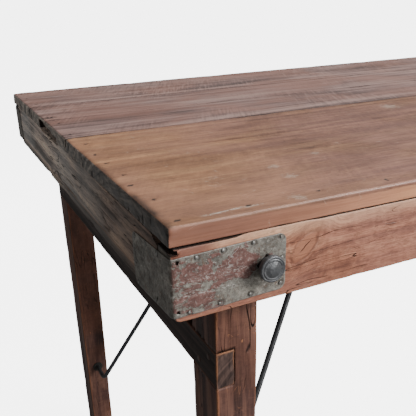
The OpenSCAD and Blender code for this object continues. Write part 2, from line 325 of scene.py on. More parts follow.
class Shader:
    """A node material in the making. Its texture space is the part's own frame, in metres."""

    def __init__(self, name):
        self.material = bpy.data.materials.new(name)
        self.material.use_nodes = True
        self.tree = self.material.node_tree
        self.tree.nodes.clear()
        self.surface = self.add("ShaderNodeBsdfPrincipled")
        output = self.add("ShaderNodeOutputMaterial")
        self.tree.links.new(self.surface.outputs[0], output.inputs[0])
        self.place = self.add("ShaderNodeTexCoord").outputs["Object"]
        self.normal = None

    def add(self, kind, inputs=None, **settings):
        node = self.tree.nodes.new(kind)
        for key, value in settings.items():
            setattr(node, key, value)
        for key, value in (inputs or {}).items():
            self.feed(node.inputs[key], value)
        return node

    def feed(self, socket, value):
        if isinstance(value, bpy.types.NodeSocket):
            self.tree.links.new(value, socket)
        elif socket.type == "RGBA" and len(value) == 3:
            socket.default_value = (*value, 1)
        else:
            socket.default_value = value

    def noise(self, sizes, detail=3.0, rough=0.55, distortion=0.0, shift=0.0, turn=(0, 0, 0), place=None):
        """Noise whose bumps have these sizes along X, Y and Z after the turn, or one size in all three."""
        sizes = [sizes] * 3 if isinstance(sizes, float) else sizes
        turned = self.add("ShaderNodeMapping", {"Vector": place or self.place, "Rotation": turn}).outputs[0]
        spread = self.add("ShaderNodeMapping", {
            "Vector": turned, "Scale": [1 / s for s in sizes], "Location": (shift, shift * 1.7, shift * 0.6)})
        return self.add("ShaderNodeTexNoise", {
            "Vector": spread.outputs[0], "Scale": 1.0, "Detail": detail, "Roughness": rough,
            "Distortion": distortion}).outputs["Fac"]

    def calc(self, operation, a, b=0.0, c=0.0):
        return self.add("ShaderNodeMath", {0: a, 1: b, 2: c}, operation=operation).outputs[0]

    def band(self, value, low, high, to_low=0.0, to_high=1.0):
        """Value mapped smoothly from low..high to to_low..to_high."""
        node = self.add("ShaderNodeMapRange", {
            "Value": value, "From Min": low, "From Max": high, "To Min": to_low, "To Max": to_high},
            interpolation_type="SMOOTHSTEP")
        return node.outputs[0]

    def line(self, value, centre, width):
        """1 where a value crosses the centre, within this width, and 0 elsewhere."""
        off = self.calc("ABSOLUTE", self.less(value, centre))
        return self.band(off, 0.0, width, 1.0, 0.0)

    def plus(self, a, b):
        return self.calc("ADD", a, b)

    def less(self, a, b):
        return self.calc("SUBTRACT", a, b)

    def both(self, a, b):
        return self.calc("MULTIPLY", a, b)

    def linear(self, value, factor, offset):
        return self.calc("MULTIPLY_ADD", value, factor, offset)

    def vector(self, operation, a, b, socket=1):
        return self.add("ShaderNodeVectorMath", {0: a, socket: b}, operation=operation).outputs[0]

    def reach(self, vector):
        """A vector's length."""
        return self.add("ShaderNodeVectorMath", {0: vector}, operation="LENGTH").outputs["Value"]

    def times(self, color, factor):
        """A colour made lighter or darker."""
        return self.vector("SCALE", color, factor, "Scale")

    def run(self):
        """Distance from the nearer end of the table."""
        return self.less(-LEFT_X, self.calc("ABSOLUTE", self.parts()[0]))

    def drop(self):
        """Depth below the upper face of the top."""
        return self.less(UPPER_Z, self.parts()[2])

    def back(self):
        """Distance behind the front edge."""
        return self.less(self.parts()[1], FRONT_Y)

    def mix(self, share, a, b, blend="MIX"):
        node = self.add("ShaderNodeMix", data_type="RGBA", blend_type=blend)
        self.feed(node.inputs[0], share)
        self.feed(node.inputs[6], a)
        self.feed(node.inputs[7], b)
        return node.outputs[2]

    def tinted(self, color, tint):
        return self.mix(1.0, color, tint, "MULTIPLY")

    def ramp(self, value, *stops):
        node = self.add("ShaderNodeValToRGB", {"Fac": value})
        marks = node.color_ramp.elements
        while len(marks) < len(stops):
            marks.new(0.5)
        for mark, (position, color) in zip(marks, stops):
            mark.position = position
            mark.color = (*color, 1)
        return node.outputs[0]

    def attribute(self, name):
        return self.add("ShaderNodeAttribute", attribute_name=name).outputs["Fac"]

    def parts(self, place=None):
        return self.add("ShaderNodeSeparateXYZ", {0: place or self.place}).outputs

    def bump(self, height, distance):
        node = self.add("ShaderNodeBump", {"Height": height, "Strength": 1.0, "Distance": distance})
        if self.normal:
            self.feed(node.inputs["Normal"], self.normal)
        self.normal = node.outputs[0]

    def done(self, color, roughness, **fixed):
        self.feed(self.surface.inputs["Base Color"], color)
        self.feed(self.surface.inputs["Roughness"], roughness)
        if self.normal:
            self.feed(self.surface.inputs["Normal"], self.normal)
        for key, value in fixed.items():
            self.feed(self.surface.inputs[key.replace("_", " ")], value)
        return self.material


def rings(s, grain, pith, wander, pitch, shift):
    """Growth lines: noise over the distance from a pith that wanders along the grain."""
    scale = [1 / v for v in along(grain, 0.9, 0.16)]
    wave = s.add("ShaderNodeMapping", {"Vector": s.place, "Scale": scale, "Location": [shift] * 3}).outputs[0]
    sway = s.add("ShaderNodeTexNoise", {"Vector": wave, "Scale": 1.0, "Detail": 2.0, "Roughness": 0.45})
    swing = s.vector("ADD", sway.outputs["Color"], [-0.5] * 3)
    centred = s.vector("SUBTRACT", s.vector("ADD", s.place, s.times(swing, wander)), pith)
    flat = [1.0, 1.0, 1.0]
    flat[grain] = 0.0
    radius = s.reach(s.vector("MULTIPLY", centred, flat))
    lines = s.add("ShaderNodeTexNoise", {
        "W": s.both(radius, 1 / pitch), "Scale": 1.0, "Detail": 3.0, "Roughness": 0.6},
        noise_dimensions="1D")
    return lines.outputs["Fac"]


def around_knot(s, knot):
    """Coordinates that flow round a knot, and its disc, rim and crack from 0 to 1, and distance from it."""
    centre, sizes, tilt = knot
    local = s.add("ShaderNodeMapping", {
        "Vector": s.place, "Location": centre, "Rotation": (0, tilt, 0), "Scale": (sizes[0], 1, sizes[1])},
        vector_type="TEXTURE").outputs[0]
    x, _, z = s.parts(local)
    flat = s.add("ShaderNodeCombineXYZ", {0: x, 1: 0.0, 2: z}).outputs[0]
    ragged = s.both(s.less(s.noise(0.01, 3, 0.6), 0.5), 0.55)
    radius = s.plus(s.reach(flat), ragged)
    pull = s.both(s.band(radius, 0.5, 3.2, 1.0, 0.0), 0.8)
    rise = s.both(s.less(s.parts()[2], centre[2]), pull)
    lift = s.add("ShaderNodeCombineXYZ", {0: 0.0, 1: 0.0, 2: rise}).outputs[0]
    flow = s.vector("SUBTRACT", s.place, lift)
    disc = s.band(radius, 0.7, 1.15, 1.0, 0.0)
    rim = s.line(radius, 1.0, 0.24)
    split = s.both(s.line(s.plus(z, s.both(ragged, 0.6)), 0.0, 0.085), s.band(radius, 0.3, 0.62, 1.0, 0.0))
    return flow, disc, rim, split, radius


# Near black for dirt in pores, cracks and dents, and for painted shade in gaps and recesses.
DIRT_AND_SHADE = (0.016, 0.011, 0.009)


def wood(name, grain, dark, middle, light, *, pith=(0, 0, 0), wander=0.05, pitch=0.009, contrast=1.0,
         tint=None, worn=None, saw=0.0, saw_turn=0.3, figure=0.0, mottle=0.0,
         cracks=0.0, scratches=0.0, scratch=(0.5, 0.3, 0.2), fine=1.0, shine=0.42, patch=0.5, shift=0.0,
         knot=None, gloss=0.35, end_rim=None, band=None,
         end_tones=((0.024, 0.019, 0.016), (0.09, 0.075, 0.062), (0.22, 0.185, 0.15))):
    """Old wood.

    dark, middle and light are its colours, tint is a second middle that comes in patches, worn is the bare
    wood on its edges, and end_tones are the colours of its weathered end grain; a painted light gradient
    makes the end grain lighter towards the back of the table.
    """
    s = Shader(name)
    straight = s.place
    if knot:
        flow, disc, rim, split, knot_radius = around_knot(s, knot)
        s.place = flow
    growth = rings(s, grain, pith, wander, pitch, shift)
    streak = s.noise(along(grain, 0.3, 0.011), 5, 0.62, 0.35, shift)
    fibre = s.noise(along(grain, 0.03, 0.001), 4, 0.65, 0.0, shift + 3)
    cloud = s.noise(along(grain, 0.2, 0.06), 4, 0.6, 0.6, shift + 5)
    tone = s.linear(growth, 0.45, s.both(streak, 0.55))
    tone = s.linear(s.less(tone, 0.5), 1.9 * contrast, 0.5)
    tone = s.plus(tone, s.both(s.less(cloud, 0.5), patch))
    if figure:
        curl = s.noise([0.014, 0.03, 0.03], 6, 0.72, 1.2, shift + 21, turn=(0, 0, 0.5))
        tone = s.plus(tone, s.both(s.less(curl, 0.5), figure))
    color = s.ramp(tone, (0.18, dark), (0.48, middle), (0.8, light))
    if tint:
        share = s.band(s.noise([0.17, 0.12, 0.12], 3, 0.5, 0.4, shift + 15), 0.4, 0.62)
        color = s.mix(share, color, s.mix(0.55, color, tint))
    color = s.mix(s.band(fibre, 0.38, 0.6, 0.42 * fine, 0.0), color, dark)
    color = s.mix(s.band(fibre, 0.56, 0.72, 0.0, 0.28 * fine), color, light)
    pores = s.both(s.band(s.noise(along(grain, 0.01, 0.0006), 2, 0.5, 0, shift + 9), 0.6, 0.67), 0.6 * fine)
    color = s.mix(pores, color, DIRT_AND_SHADE)
    if mottle:
        spots = s.noise([0.009, 0.006, 0.0045], 5, 0.72, 0.6, shift + 25)
        color = s.mix(s.both(s.band(spots, 0.51, 0.64), mottle), color, dark)
        color = s.mix(s.both(s.band(spots, 0.46, 0.34), mottle * 0.8), color, light)
    s.place = straight
    if knot:
        swirl = s.add("ShaderNodeTexNoise", {"W": s.both(knot_radius, 7.0), "Detail": 3.0},
                      noise_dimensions="1D").outputs["Fac"]
        patchy = s.band(s.noise(0.013, 4, 0.65, 0.3, 3), 0.4, 0.62)
        heart = s.ramp(swirl, (0.3, [v * 0.62 for v in middle]), (0.7, middle))
        color = s.mix(s.both(disc, 0.75), color, heart)
        color = s.mix(s.both(rim, s.linear(patchy, 0.45, 0.4)), color, dark)
        halo = s.both(s.line(knot_radius, 1.5, 0.3), s.linear(patchy, 0.45, 0.15))
        color = s.mix(halo, color, dark)
        color = s.mix(s.both(split, 0.8), color, DIRT_AND_SHADE)
        s.bump(s.less(s.both(rim, -0.3), split), 0.8 * MM)
    height = s.linear(fibre, 0.4, s.both(growth, 0.6))
    if saw:
        marks = [3.2 * MM] * 3
        marks[1 if grain == 0 else 0] = 0.055
        kerf = s.noise(marks, 2, 0.55, 0.25, shift + 2, turn=(0, 0, saw_turn))
        patchy = s.both(s.band(s.noise(0.16, 3, 0.55, 0, shift + 4), 0.42, 0.6), saw)
        color = s.mix(s.both(s.band(kerf, 0.5, 0.7), patchy), color, light)
        color = s.mix(s.both(s.band(kerf, 0.5, 0.34), patchy), color, dark)
        s.bump(kerf, 0.35 * MM * saw)
    if worn:
        edge = s.attribute("edge")
        break_up = s.noise(along(grain, 0.02, 0.004), 4, 0.65, 0, shift + 7)
        color = s.mix(s.band(s.both(edge, s.plus(break_up, 0.45)), 0.25, 0.85), color, worn)
    if band:
        color = band(s, color)
    if scratches:
        total = None
        for turn, length in ((0.45, 0.16), (-0.3, 0.1), (0.9, 0.08)):
            spin = [0.0, 0.0, 0.0]
            spin[(grain + 1) % 3] = turn
            spin[(grain + 2) % 3] = turn * 0.8
            thread = s.noise(along(grain, length, 0.016), 2, 0.5, 0.3, shift + turn, turn=spin)
            zone = s.band(s.noise(0.03, 4, 0.7, 0, shift + turn * 3), 0.58, 0.66)
            mark = s.both(s.line(thread, 0.5, 0.01), zone)
            total = mark if total is None else s.calc("MAXIMUM", total, mark)
        chips = s.band(s.noise(along(grain, 0.016, 0.006), 4, 0.6, 0.3, shift + 31), 0.715, 0.76)
        total = s.calc("MAXIMUM", s.both(total, 0.6), chips)
        color = s.mix(s.both(total, scratches), color, scratch)
    if cracks:
        field = s.noise(along(grain, 0.3, 0.024), 3, 0.5, 0.35, shift + 11, turn=(0.03, 0.03, 0.03))
        where = s.band(s.noise(0.09, 3, 0.55, 0, shift + 13), 0.46, 0.56)
        crack = s.both(s.line(field, 0.5, 0.0075 * cracks), where)
        color = s.mix(crack, color, (0.006, 0.004, 0.004))
        s.bump(s.less(1.0, crack), 1.5 * MM)
    flecks = s.noise(along((grain + 1) % 3, 0.014, 0.003), 4, 0.65, 0.8, shift + 17)
    sawn = s.ramp(s.linear(growth, 0.5, s.both(flecks, 0.5)),
                  (0.36, end_tones[0]), (0.5, end_tones[1]), (0.66, end_tones[2]))
    # Painted light: the end grain grows lighter towards the back, up to 3.6 times.
    sawn = s.times(sawn, s.band(s.back(), -0.02, 0.42, 1.0, 3.6))
    color = s.mix(s.attribute("end"), color, sawn)
    if end_rim:
        rim = s.both(s.band(s.attribute("edge"), 0.45, 0.9), s.both(s.attribute("end"), 0.8))
        color = s.mix(rim, color, end_rim)
    # Near black where the mesh marks dirt in dents, nail pits and joints, and painted shade in gaps, recesses
    # and along the top's left end.
    grime_and_shade = s.band(s.attribute("dirt_and_shade_mark"), 0.12, 0.85)
    color = s.mix(s.both(grime_and_shade, 0.94), color, DIRT_AND_SHADE)
    s.bump(height, 0.22 * MM * fine)
    dull = s.plus(s.band(streak, 0.3, 0.7, shine + 0.1, shine - 0.06), s.both(grime_and_shade, 0.3))
    return s.done(color, dull, Specular_IOR_Level=gloss)


def iron(name, base, bare, rust, *, rough=0.5, metal=0.6, rusty=0.3, grit=0.12):
    """Dark iron with worn bare spots and rust."""
    s = Shader(name)
    cloud = s.noise(0.03, 5, 0.65, 0.3)
    fine = s.noise(0.0014, 3, 0.6)
    color = s.mix(s.band(cloud, 0.52, 0.66), base, bare)
    color = s.mix(s.both(s.band(s.noise(0.012, 5, 0.7, 0.5, 4), 0.5, 0.64), rusty), color, rust)
    color = s.mix(s.band(fine, 0.4, 0.7, 0.35, 0.0), color, [v * 0.55 for v in base])
    s.bump(fine, grit * MM)
    s.bump(cloud, 0.4 * MM)
    return s.done(color, s.band(cloud, 0.35, 0.7, rough + 0.12, rough - 0.1), Metallic=metal)


def tin_plate(name):
    """Dull tin under dark red paint that has flaked off in patches, with rows of fine scratches."""
    s = Shader(name)
    mottle = s.noise(0.016, 6, 0.68, 0.5, 2)
    tin = s.ramp(mottle, (0.28, (0.07, 0.064, 0.055)), (0.5, (0.18, 0.168, 0.143)),
                 (0.74, (0.42, 0.385, 0.325)))
    rust = s.band(s.noise(0.006, 5, 0.7, 0.5, 6), 0.54, 0.66)
    color = s.mix(s.both(rust, 0.6), tin, (0.15, 0.085, 0.052))
    run, drop = s.run(), s.drop()
    middle = s.line(drop, 0.047, 0.019)
    foot = s.both(s.band(drop, 0.058, 0.066), s.band(run, 0.03, 0.055, 1.0, 0.25))
    clear = s.band(run, 0.06, 0.092)
    lean = s.less(s.plus(s.both(middle, 0.16), s.both(foot, 0.1)), s.both(clear, 0.14))
    flake = s.noise([0.022, 0.022, 0.017], 8, 0.66, 0.6, 9.7)
    paint = s.both(s.band(s.plus(flake, lean), 0.56, 0.59), s.band(run, 0.0008, 0.003))
    red = s.ramp(s.noise([0.01, 0.01, 0.005], 6, 0.7, 0.3, 3),
                 (0.28, (0.06, 0.026, 0.023)), (0.52, (0.155, 0.066, 0.055)), (0.8, (0.33, 0.19, 0.165)))
    color = s.mix(s.both(paint, 0.92), color, red)
    streaky = s.band(s.noise([0.01, 0.01, 0.0016], 4, 0.7, 0.5, 5), 0.56, 0.66)
    color = s.mix(s.both(s.both(streaky, s.line(drop, 0.05, 0.022)), 0.55), color, (0.27, 0.25, 0.225))
    for depth, lean_by in ((0.05, 0.03), (0.0605, -0.02)):
        row = s.line(s.plus(drop, s.both(run, lean_by)), depth, 0.0042)
        hatch = s.noise([0.0034, 0.0034, 0.0013], 4, 0.7, 0.8, depth * 100)
        mark = s.both(s.both(s.band(hatch, 0.54, 0.62), row), s.band(run, 0.055, 0.085, 0.9, 0.15))
        color = s.mix(mark, color, (0.5, 0.47, 0.43))
    speck = s.noise(0.0026, 4, 0.75, 0.2, 14)
    color = s.mix(s.both(s.band(speck, 0.53, 0.61), 0.66), color, (0.08, 0.045, 0.034))
    color = s.mix(s.both(s.band(speck, 0.45, 0.37), 0.5), color, (0.43, 0.39, 0.35))
    thread = s.noise([0.05, 0.05, 0.012], 2, 0.5, 0.3, 8, turn=(0, 0.5, 0))
    light = s.both(s.line(thread, 0.5, 0.008), s.band(s.noise(0.02, 3, 0.6, 0, 12), 0.55, 0.62))
    color = s.mix(s.both(light, 0.7), color, (0.42, 0.4, 0.37))
    color = s.mix(s.both(s.attribute("edge"), 0.55), color, (0.3, 0.285, 0.26))
    # Near black where the mesh marks painted shadow round the bolt's hole and a dark ring round each tack.
    color = s.mix(s.attribute("dirt_and_shade_mark"), color, (0.02, 0.016, 0.013))
    s.bump(s.noise(0.0022, 4, 0.65), 0.18 * MM)
    s.bump(mottle, 0.5 * MM)
    s.bump(paint, 0.22 * MM)
    return s.done(color, s.linear(paint, 0.14, s.band(mottle, 0.3, 0.7, 0.62, 0.44)), Metallic=0.25)


def pale_strip(s, color):
    """The apron is bare along its upper edge, except at its ends, and darker towards the lower one."""
    wave = s.linear(s.noise([0.05, 0.05, 0.006], 4, 0.65, 0.4, 3), 0.016, -0.008)
    run, level = s.run(), s.plus(s.drop(), wave)
    bare = s.both(s.band(level, 0.021, 0.034, 0.85, 0.0), s.band(run, 0.028, 0.05))
    pale = s.mix(0.4, s.tinted(color, (1.43, 1.9, 2.0)), (0.58, 0.312, 0.19))
    color = s.mix(bare, color, pale)
    stump = s.both(s.band(level, 0.026, 0.036, 0.75, 0.0), s.band(run, 0.028, 0.05, 1.0, 0.0))
    color = s.mix(stump, color, (0.185, 0.075, 0.052))
    darkening = s.both(s.band(level, 0.066, 0.092), 0.4)
    return s.mix(darkening, color, (0.21, 0.08, 0.05))


def low_line(s, color):
    """The end rail is painted darker at the front and lighter and greyer towards the back, as painted light,
    with a brown line where its lower edge was planed off.
    """
    level = s.plus(s.drop(), s.linear(s.noise(0.05, 2, 0.5), 0.004, -0.002))
    # Painted light: darker at the front, lighter and greyer towards the back.
    share = s.band(s.back(), 0.05, 0.5)
    color = s.tinted(color, s.mix(share, (0.62, 0.57, 0.56), (1.75, 1.9, 2.05)))
    color = s.mix(s.both(s.band(level, 0.0725, 0.0755), 0.62), color, (0.115, 0.096, 0.084))
    return s.mix(s.both(s.line(level, 0.0725, 0.0016), 0.6), color, (0.3, 0.16, 0.085))


# Pale scuffs on the front board: distance from the left end and from the front edge, and size, in metres
SCUFFS = ((0.157, 0.105, 0.007), (0.154, 0.069, 0.008), (0.126, 0.013, 0.008), (0.222, 0.127, 0.006),
          (0.468, 0.29, 0.016), (0.86, 0.16, 0.01), (1.24, 0.09, 0.008), (1.55, 0.2, 0.012))


def front_tones(s, color):
    """The front board is golden towards its ends, and its front edge is redder than its face; near the ends the
    red also covers the round nose as painted shade on its highlight.
    """
    x, _, z = s.parts()
    cloud = s.noise([0.14, 0.1, 0.1], 3, 0.55, 0.3, 8)
    run, depth = s.run(), s.back()
    gold = s.both(s.band(s.linear(cloud, -0.2, run), -0.03, 0.2, 1.0, 0.0), 0.75)
    color = s.mix(gold, color, (1.46, 1.47, 1.22), "MULTIPLY")
    color = s.mix(s.band(run, 0.05, 0.25, 0.3, 0.0), color, (0.3, 0.15, 0.08))
    patches = s.band(s.noise([0.1, 0.045, 0.1], 5, 0.6, 0.6, 27), 0.36, 0.64, 0.84, 1.14)
    color = s.times(color, patches)
    level = s.linear(s.noise(0.03, 2, 0.5, 0, 5), 0.006, s.linear(run, 0.05, 0.007))
    row = s.line(s.less(depth, level), 0.0, 0.003)
    hatch = s.band(s.noise([0.004, 0.0012, 0.003], 4, 0.7, 0.9, 6, turn=(0, 0, 0.5)), 0.48, 0.56)
    span = s.both(s.band(run, 0.03, 0.045), s.band(run, 0.078, 0.1, 1.0, 0.0))
    color = s.mix(s.both(s.both(row, hatch), s.both(span, 0.9)), color, (0.62, 0.56, 0.49))
    ragged = s.linear(s.noise([0.005, 0.0022, 0.005], 5, 0.75, 0.6, 19), 5.0, -2.5)
    for at_x, at_depth, size in SCUFFS:
        u = s.both(s.less(x, LEFT_X + at_x), 1 / size)
        v = s.both(s.less(depth, at_depth), 1 / size)
        away = s.calc("SQRT", s.linear(u, u, s.both(v, v)))
        spot = s.band(s.plus(away, ragged), 0.1, 1.1, 0.6, 0.0)
        color = s.mix(s.both(spot, s.linear(hatch, 0.75, 0.25)), color, (0.5, 0.43, 0.36))
    rub = s.noise([0.05, 0.05, 0.004], 4, 0.6, 0.3, 2)
    # Painted shade: near the ends the red band reaches up over the round nose and dims its highlight.
    nose_shade = s.both(s.band(run, 0.02, 0.16, -0.0032, 0.0), s.band(depth, 0.0016, 0.003, 1.0, 0.0))
    reach = s.plus(z, nose_shade)
    red = s.band(s.linear(rub, 0.003, reach), UPPER_Z - 0.0045, UPPER_Z - 0.0015, 1.0, 0.0)
    edge = s.ramp(s.linear(cloud, 0.12, run), (0.12, (0.25, 0.112, 0.076)), (0.24, (0.56, 0.262, 0.148)),
                  (0.38, (0.9, 0.45, 0.225)))
    grainy = s.noise([0.1, 0.02, 0.0022], 4, 0.65, 0.3, 12)
    edge = s.mix(s.band(grainy, 0.4, 0.6, 0.45, 0.0), edge, s.tinted(edge, (0.55, 0.48, 0.46)))
    return s.mix(s.both(red, 0.85), color, s.mix(0.22, edge, s.tinted(color, (1.15, 0.82, 0.75))))


# The knot in the front apron: its centre, half its size across and up, and its tilt in radians
KNOT = ((LEFT_X + 0.128, FRONT_Y, UPPER_Z - 0.042), (0.017, 0.0085), -0.75)
MATERIALS = {
    "front_board": wood(
        "front_board_wood", 0, (0.088, 0.037, 0.02), (0.22, 0.104, 0.06), (0.345, 0.185, 0.106),
        tint=(0.24, 0.117, 0.1), pith=(0, FRONT_Y + 0.11, UPPER_Z - 0.16), wander=0.06, pitch=0.008,
        # The front board's pinkish worn colour is bare wood on its edges and, along the round nose, partly a
        # painted highlight.
        contrast=1.15, worn=(0.27, 0.14, 0.112), saw=0.13, saw_turn=0.45, figure=0.6, mottle=0.14,
        scratches=0.6, scratch=(0.5, 0.36, 0.27), shine=0.4, patch=0.7, shift=1.0, band=front_tones,
        end_tones=((0.016, 0.013, 0.011), (0.055, 0.045, 0.037), (0.17, 0.14, 0.117))),
    "grey_boards": wood(
        "grey_board_wood", 0, (0.072, 0.046, 0.041), (0.205, 0.124, 0.11), (0.345, 0.225, 0.194),
        tint=(0.262, 0.122, 0.088), pith=(0, 0.1, UPPER_Z - 0.12), wander=0.07, pitch=0.013, contrast=1.25,
        worn=(0.085, 0.05, 0.041), saw=0.4, saw_turn=0.42, patch=1.4, fine=0.6, shift=4.2,
        scratches=0.25, scratch=(0.36, 0.26, 0.21)),
    "apron_wood": wood(
        "apron_board_wood", 0, (0.13, 0.046, 0.027), (0.405, 0.164, 0.094), (0.58, 0.285, 0.17),
        tint=(0.385, 0.172, 0.128), pith=(0, FRONT_Y - 0.05, UPPER_Z - 0.3), wander=0.11, pitch=0.014,
        contrast=1.15, worn=(0.4, 0.18, 0.11), cracks=0.35, scratches=0.35, scratch=(0.56, 0.38, 0.27),
        shine=0.46, patch=0.9, shift=7.5, knot=KNOT, band=pale_strip, figure=0.8, mottle=0.42),
    "end_wood": wood(
        "end_rail_wood", 1, (0.12, 0.095, 0.08), (0.5, 0.375, 0.3), (0.85, 0.62, 0.45),
        tint=(0.4, 0.365, 0.325), pith=(LEFT_X - 0.1, 0, UPPER_Z - 0.2), wander=0.09, pitch=0.012,
        contrast=1.3, worn=(0.17, 0.13, 0.105), cracks=0.9, scratches=0.45, scratch=(0.5, 0.4, 0.31),
        shine=0.62, patch=1.2, shift=2.4, gloss=0.25, band=low_line),
    "batten_wood": wood(
        "batten_rough_wood", 1, (0.09, 0.05, 0.03), (0.2, 0.12, 0.075), (0.32, 0.2, 0.13),
        pith=(0.2, 0, 0.6), pitch=0.01, cracks=0.6, saw=0.6, shine=0.6, shift=5.1),
    "leg_wood": wood(
        "leg_dark_wood", 2, (0.026, 0.014, 0.012), (0.098, 0.048, 0.039), (0.215, 0.106, 0.074),
        tint=(0.175, 0.068, 0.038), pith=(LEFT_X + 0.15, FRONT_Y - 0.05, 0), wander=0.06, pitch=0.01,
        contrast=1.4, worn=(0.27, 0.115, 0.062), mottle=0.22, cracks=0.7, scratches=0.7,
        scratch=(0.42, 0.175, 0.08), fine=0.45, shine=0.52, patch=1.5, shift=3.3, gloss=0.2),
    "rail_wood": wood(
        "leg_rail_dark_wood", 1, (0.014, 0.009, 0.007), (0.044, 0.026, 0.02), (0.09, 0.052, 0.038),
        pith=(LEFT_X + 0.2, 0, 0.5), contrast=1.1,
        worn=(0.16, 0.07, 0.04), cracks=0.9, scratches=0.3, scratch=(0.2, 0.09, 0.05), shine=0.55,
        shift=8.8, gloss=0.2,
        end_tones=((0.022, 0.014, 0.012), (0.06, 0.037, 0.031), (0.11, 0.068, 0.055)),
        end_rim=(0.36, 0.15, 0.065)),
    "peg_wood": wood(
        "peg_end_wood", 0, (0.03, 0.016, 0.012), (0.08, 0.04, 0.028), (0.14, 0.075, 0.05), pitch=0.003,
        shift=6.0),
    "sheet_iron": tin_plate("corner_plate_tin"),
    "tacks": iron("tack_steel", (0.26, 0.255, 0.24), (0.52, 0.51, 0.49), (0.12, 0.07, 0.045),
                  rough=0.4, grit=0.05),
    "nails": iron("nail_rust", (0.02, 0.016, 0.014), (0.045, 0.038, 0.034), (0.04, 0.022, 0.014),
                  rough=0.65, metal=0.3, rusty=0.5),
    "bolt_steel": iron("bolt_dark_steel", (0.105, 0.107, 0.112), (0.3, 0.3, 0.305), (0.1, 0.075, 0.06),
                       rough=0.36, metal=0.45, rusty=0.12),
    "black_iron": iron("stay_black_iron", (0.046, 0.048, 0.051), (0.08, 0.082, 0.087),
                       (0.055, 0.036, 0.028),
                       rough=0.4, metal=0.25, rusty=0.12, grit=0.02),
    "hardware": iron("hardware_steel", (0.05, 0.047, 0.043), (0.12, 0.115, 0.11), (0.08, 0.045, 0.03),
                     metal=0.7, rusty=0.4),
}


# ---- timber

def edge_distance(points, low, high):
    """Distance of each point on a block's surface to the block's nearest edge."""
    gap = np.minimum(points - low, high - points)
    return np.sort(gap, axis=1)[:, 1]


def dimples(points, spots, facing):
    """Depth of round dents at spots of (x, y, z, radius, depth), on faces that face this way."""
    depth = np.zeros(len(points))
    for x, y, z, radius, deep in spots:
        away = points - (x, y, z)
        distance = np.linalg.norm(away, axis=1) / radius
        depth += deep * np.exp(-distance ** 2 * 1.5)
    return depth * facing


def timber(node, slot, grain, *, radius, step=0.008, cross=0.004, fine=None, keep=None, shape=None,
           spots=(), relief=1.0, wear=1.0, warp=0.5, gap=0.0, seed=1, joints=(), more=None):
    """A worn piece of wood in place of a CAD node. Its grain runs along axis 0, 1 or 2."""
    low, high = corners(node)
    inset = np.full(3, gap)
    inset[grain] = 0
    if grain == 0:
        inset[2] = 0
    low, high = low + inset, high - inset
    pitch = [cross] * 3
    pitch[grain] = step
    rim = float(radius) if np.isscalar(radius) else 2 * MM
    planes = []
    for axis in range(3):
        if fine and axis in fine:
            until, fine_step = fine[axis]
            planes.append(cuts(low[axis], high[axis], pitch[axis], rim, until, fine_step))
        else:
            planes.append(cuts(low[axis], high[axis], pitch[axis], rim))
    points, quads = lattice_block(planes, keep)
    flat = points.copy()
    if callable(radius):
        bend = radius(points)
    else:
        bend = radius * (1 + 0.5 * fractal(points, along(grain, 0.06, 0.02), seed))
    points = round_edges(points, low, high, bend)
    normals = point_normals(points, quads)
    border = edge_distance(flat, low, high)
    near = np.exp(-(border / (3.5 * MM)) ** 2)
    depth = warp * MM * (0.5 + 0.5 * fractal(points, along(grain, 0.5, 0.09), seed + 3, 2))
    depth += relief * 0.16 * MM * fractal(points, along(grain, 0.09, 0.007), seed + 5, 3)
    chips = np.maximum(0, fractal(points, along(grain, 0.03, 0.014), seed + 7, 4) - 0.12)
    depth += wear * 3.4 * MM * chips * near
    dents = np.maximum(0, fractal(points, 0.022, seed + 9, 3) - 0.38)
    depth += wear * 1.6 * MM * dents
    facing = np.abs(normals[:, 2])
    dirt_and_shade_mark = ease(wear * 1.6 * dents, 0.1, 0.5) * 0.35
    if len(spots):
        pits = dimples(points, spots, facing)
        depth += pits
        dirt_and_shade_mark = dirt_and_shade_mark + ease(pits, 0.12 * MM, 0.5 * MM)
    if more:
        extra, darkening = more(flat, normals)
        depth += extra
        dirt_and_shade_mark = dirt_and_shade_mark + darkening
    points = points - normals * depth[:, None]
    if shape:
        points = shape(points)
    on_end = np.minimum(np.abs(flat[:, grain] - low[grain]), np.abs(high[grain] - flat[:, grain]))
    # Mask for the worn colour on the edges: bare wood, which on the front board's nose also serves as a painted
    # highlight.
    bright = near * np.clip(0.75 + 0.5 * fractal(points, along(grain, 0.05, 0.02), seed + 13), 0, 1.2)
    if joints:
        beside = np.full(len(flat), 1.0)
        for edge_y in joints:
            beside = np.minimum(beside, np.abs(flat[:, 1] - edge_y))
        seam = 0.55 * np.exp(-(beside / (1.5 * MM)) ** 2) + 0.32 * np.exp(-(beside / (11 * MM)) ** 2)
        seam = seam * (flat[:, 2] > low[2] + 4 * MM)
        dirt_and_shade_mark = dirt_and_shade_mark + seam * (0.75 + 0.45 * fractal(points, [0.07, 0.02, 0.02], seed + 17))
        bright = bright * (1 - np.exp(-(beside / (7 * MM)) ** 2))
    # The dark mark holds dirt in dents, nail pits and joints, and any painted shade that more returns.
    marks = {
        "edge": bright,
        "dirt_and_shade_mark": np.clip(dirt_and_shade_mark, 0, 1),
        "end": np.exp(-(on_end / (0.6 * MM)) ** 2),
    }
    make_piece(node + "_worn", points, quads, frame["nodes"][node]["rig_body"], slot, [node], marks)


NAIL_NODES = ("end_nails", "edge_nails")
NAIL_SPOTS = [(c[0], c[1], UPPER_Z, 3.2 * MM, 0.7 * MM) for n in NAIL_NODES for c, _, _ in islands(n)]


def spots_over(node, margin=4 * MM):
    low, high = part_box(node)
    return [s for s in NAIL_SPOTS if low.y - margin < s[1] < high.y + margin]


def upper_end(points):
    """How near points are to the table's ends, and to the upper face, each from 0 to 1."""
    end = ease(np.abs(points[:, 0]), -LEFT_X - 14 * MM, -LEFT_X - 6 * MM)
    return end, ease(points[:, 2], UPPER_Z - 11 * MM, UPPER_Z - 7 * MM)


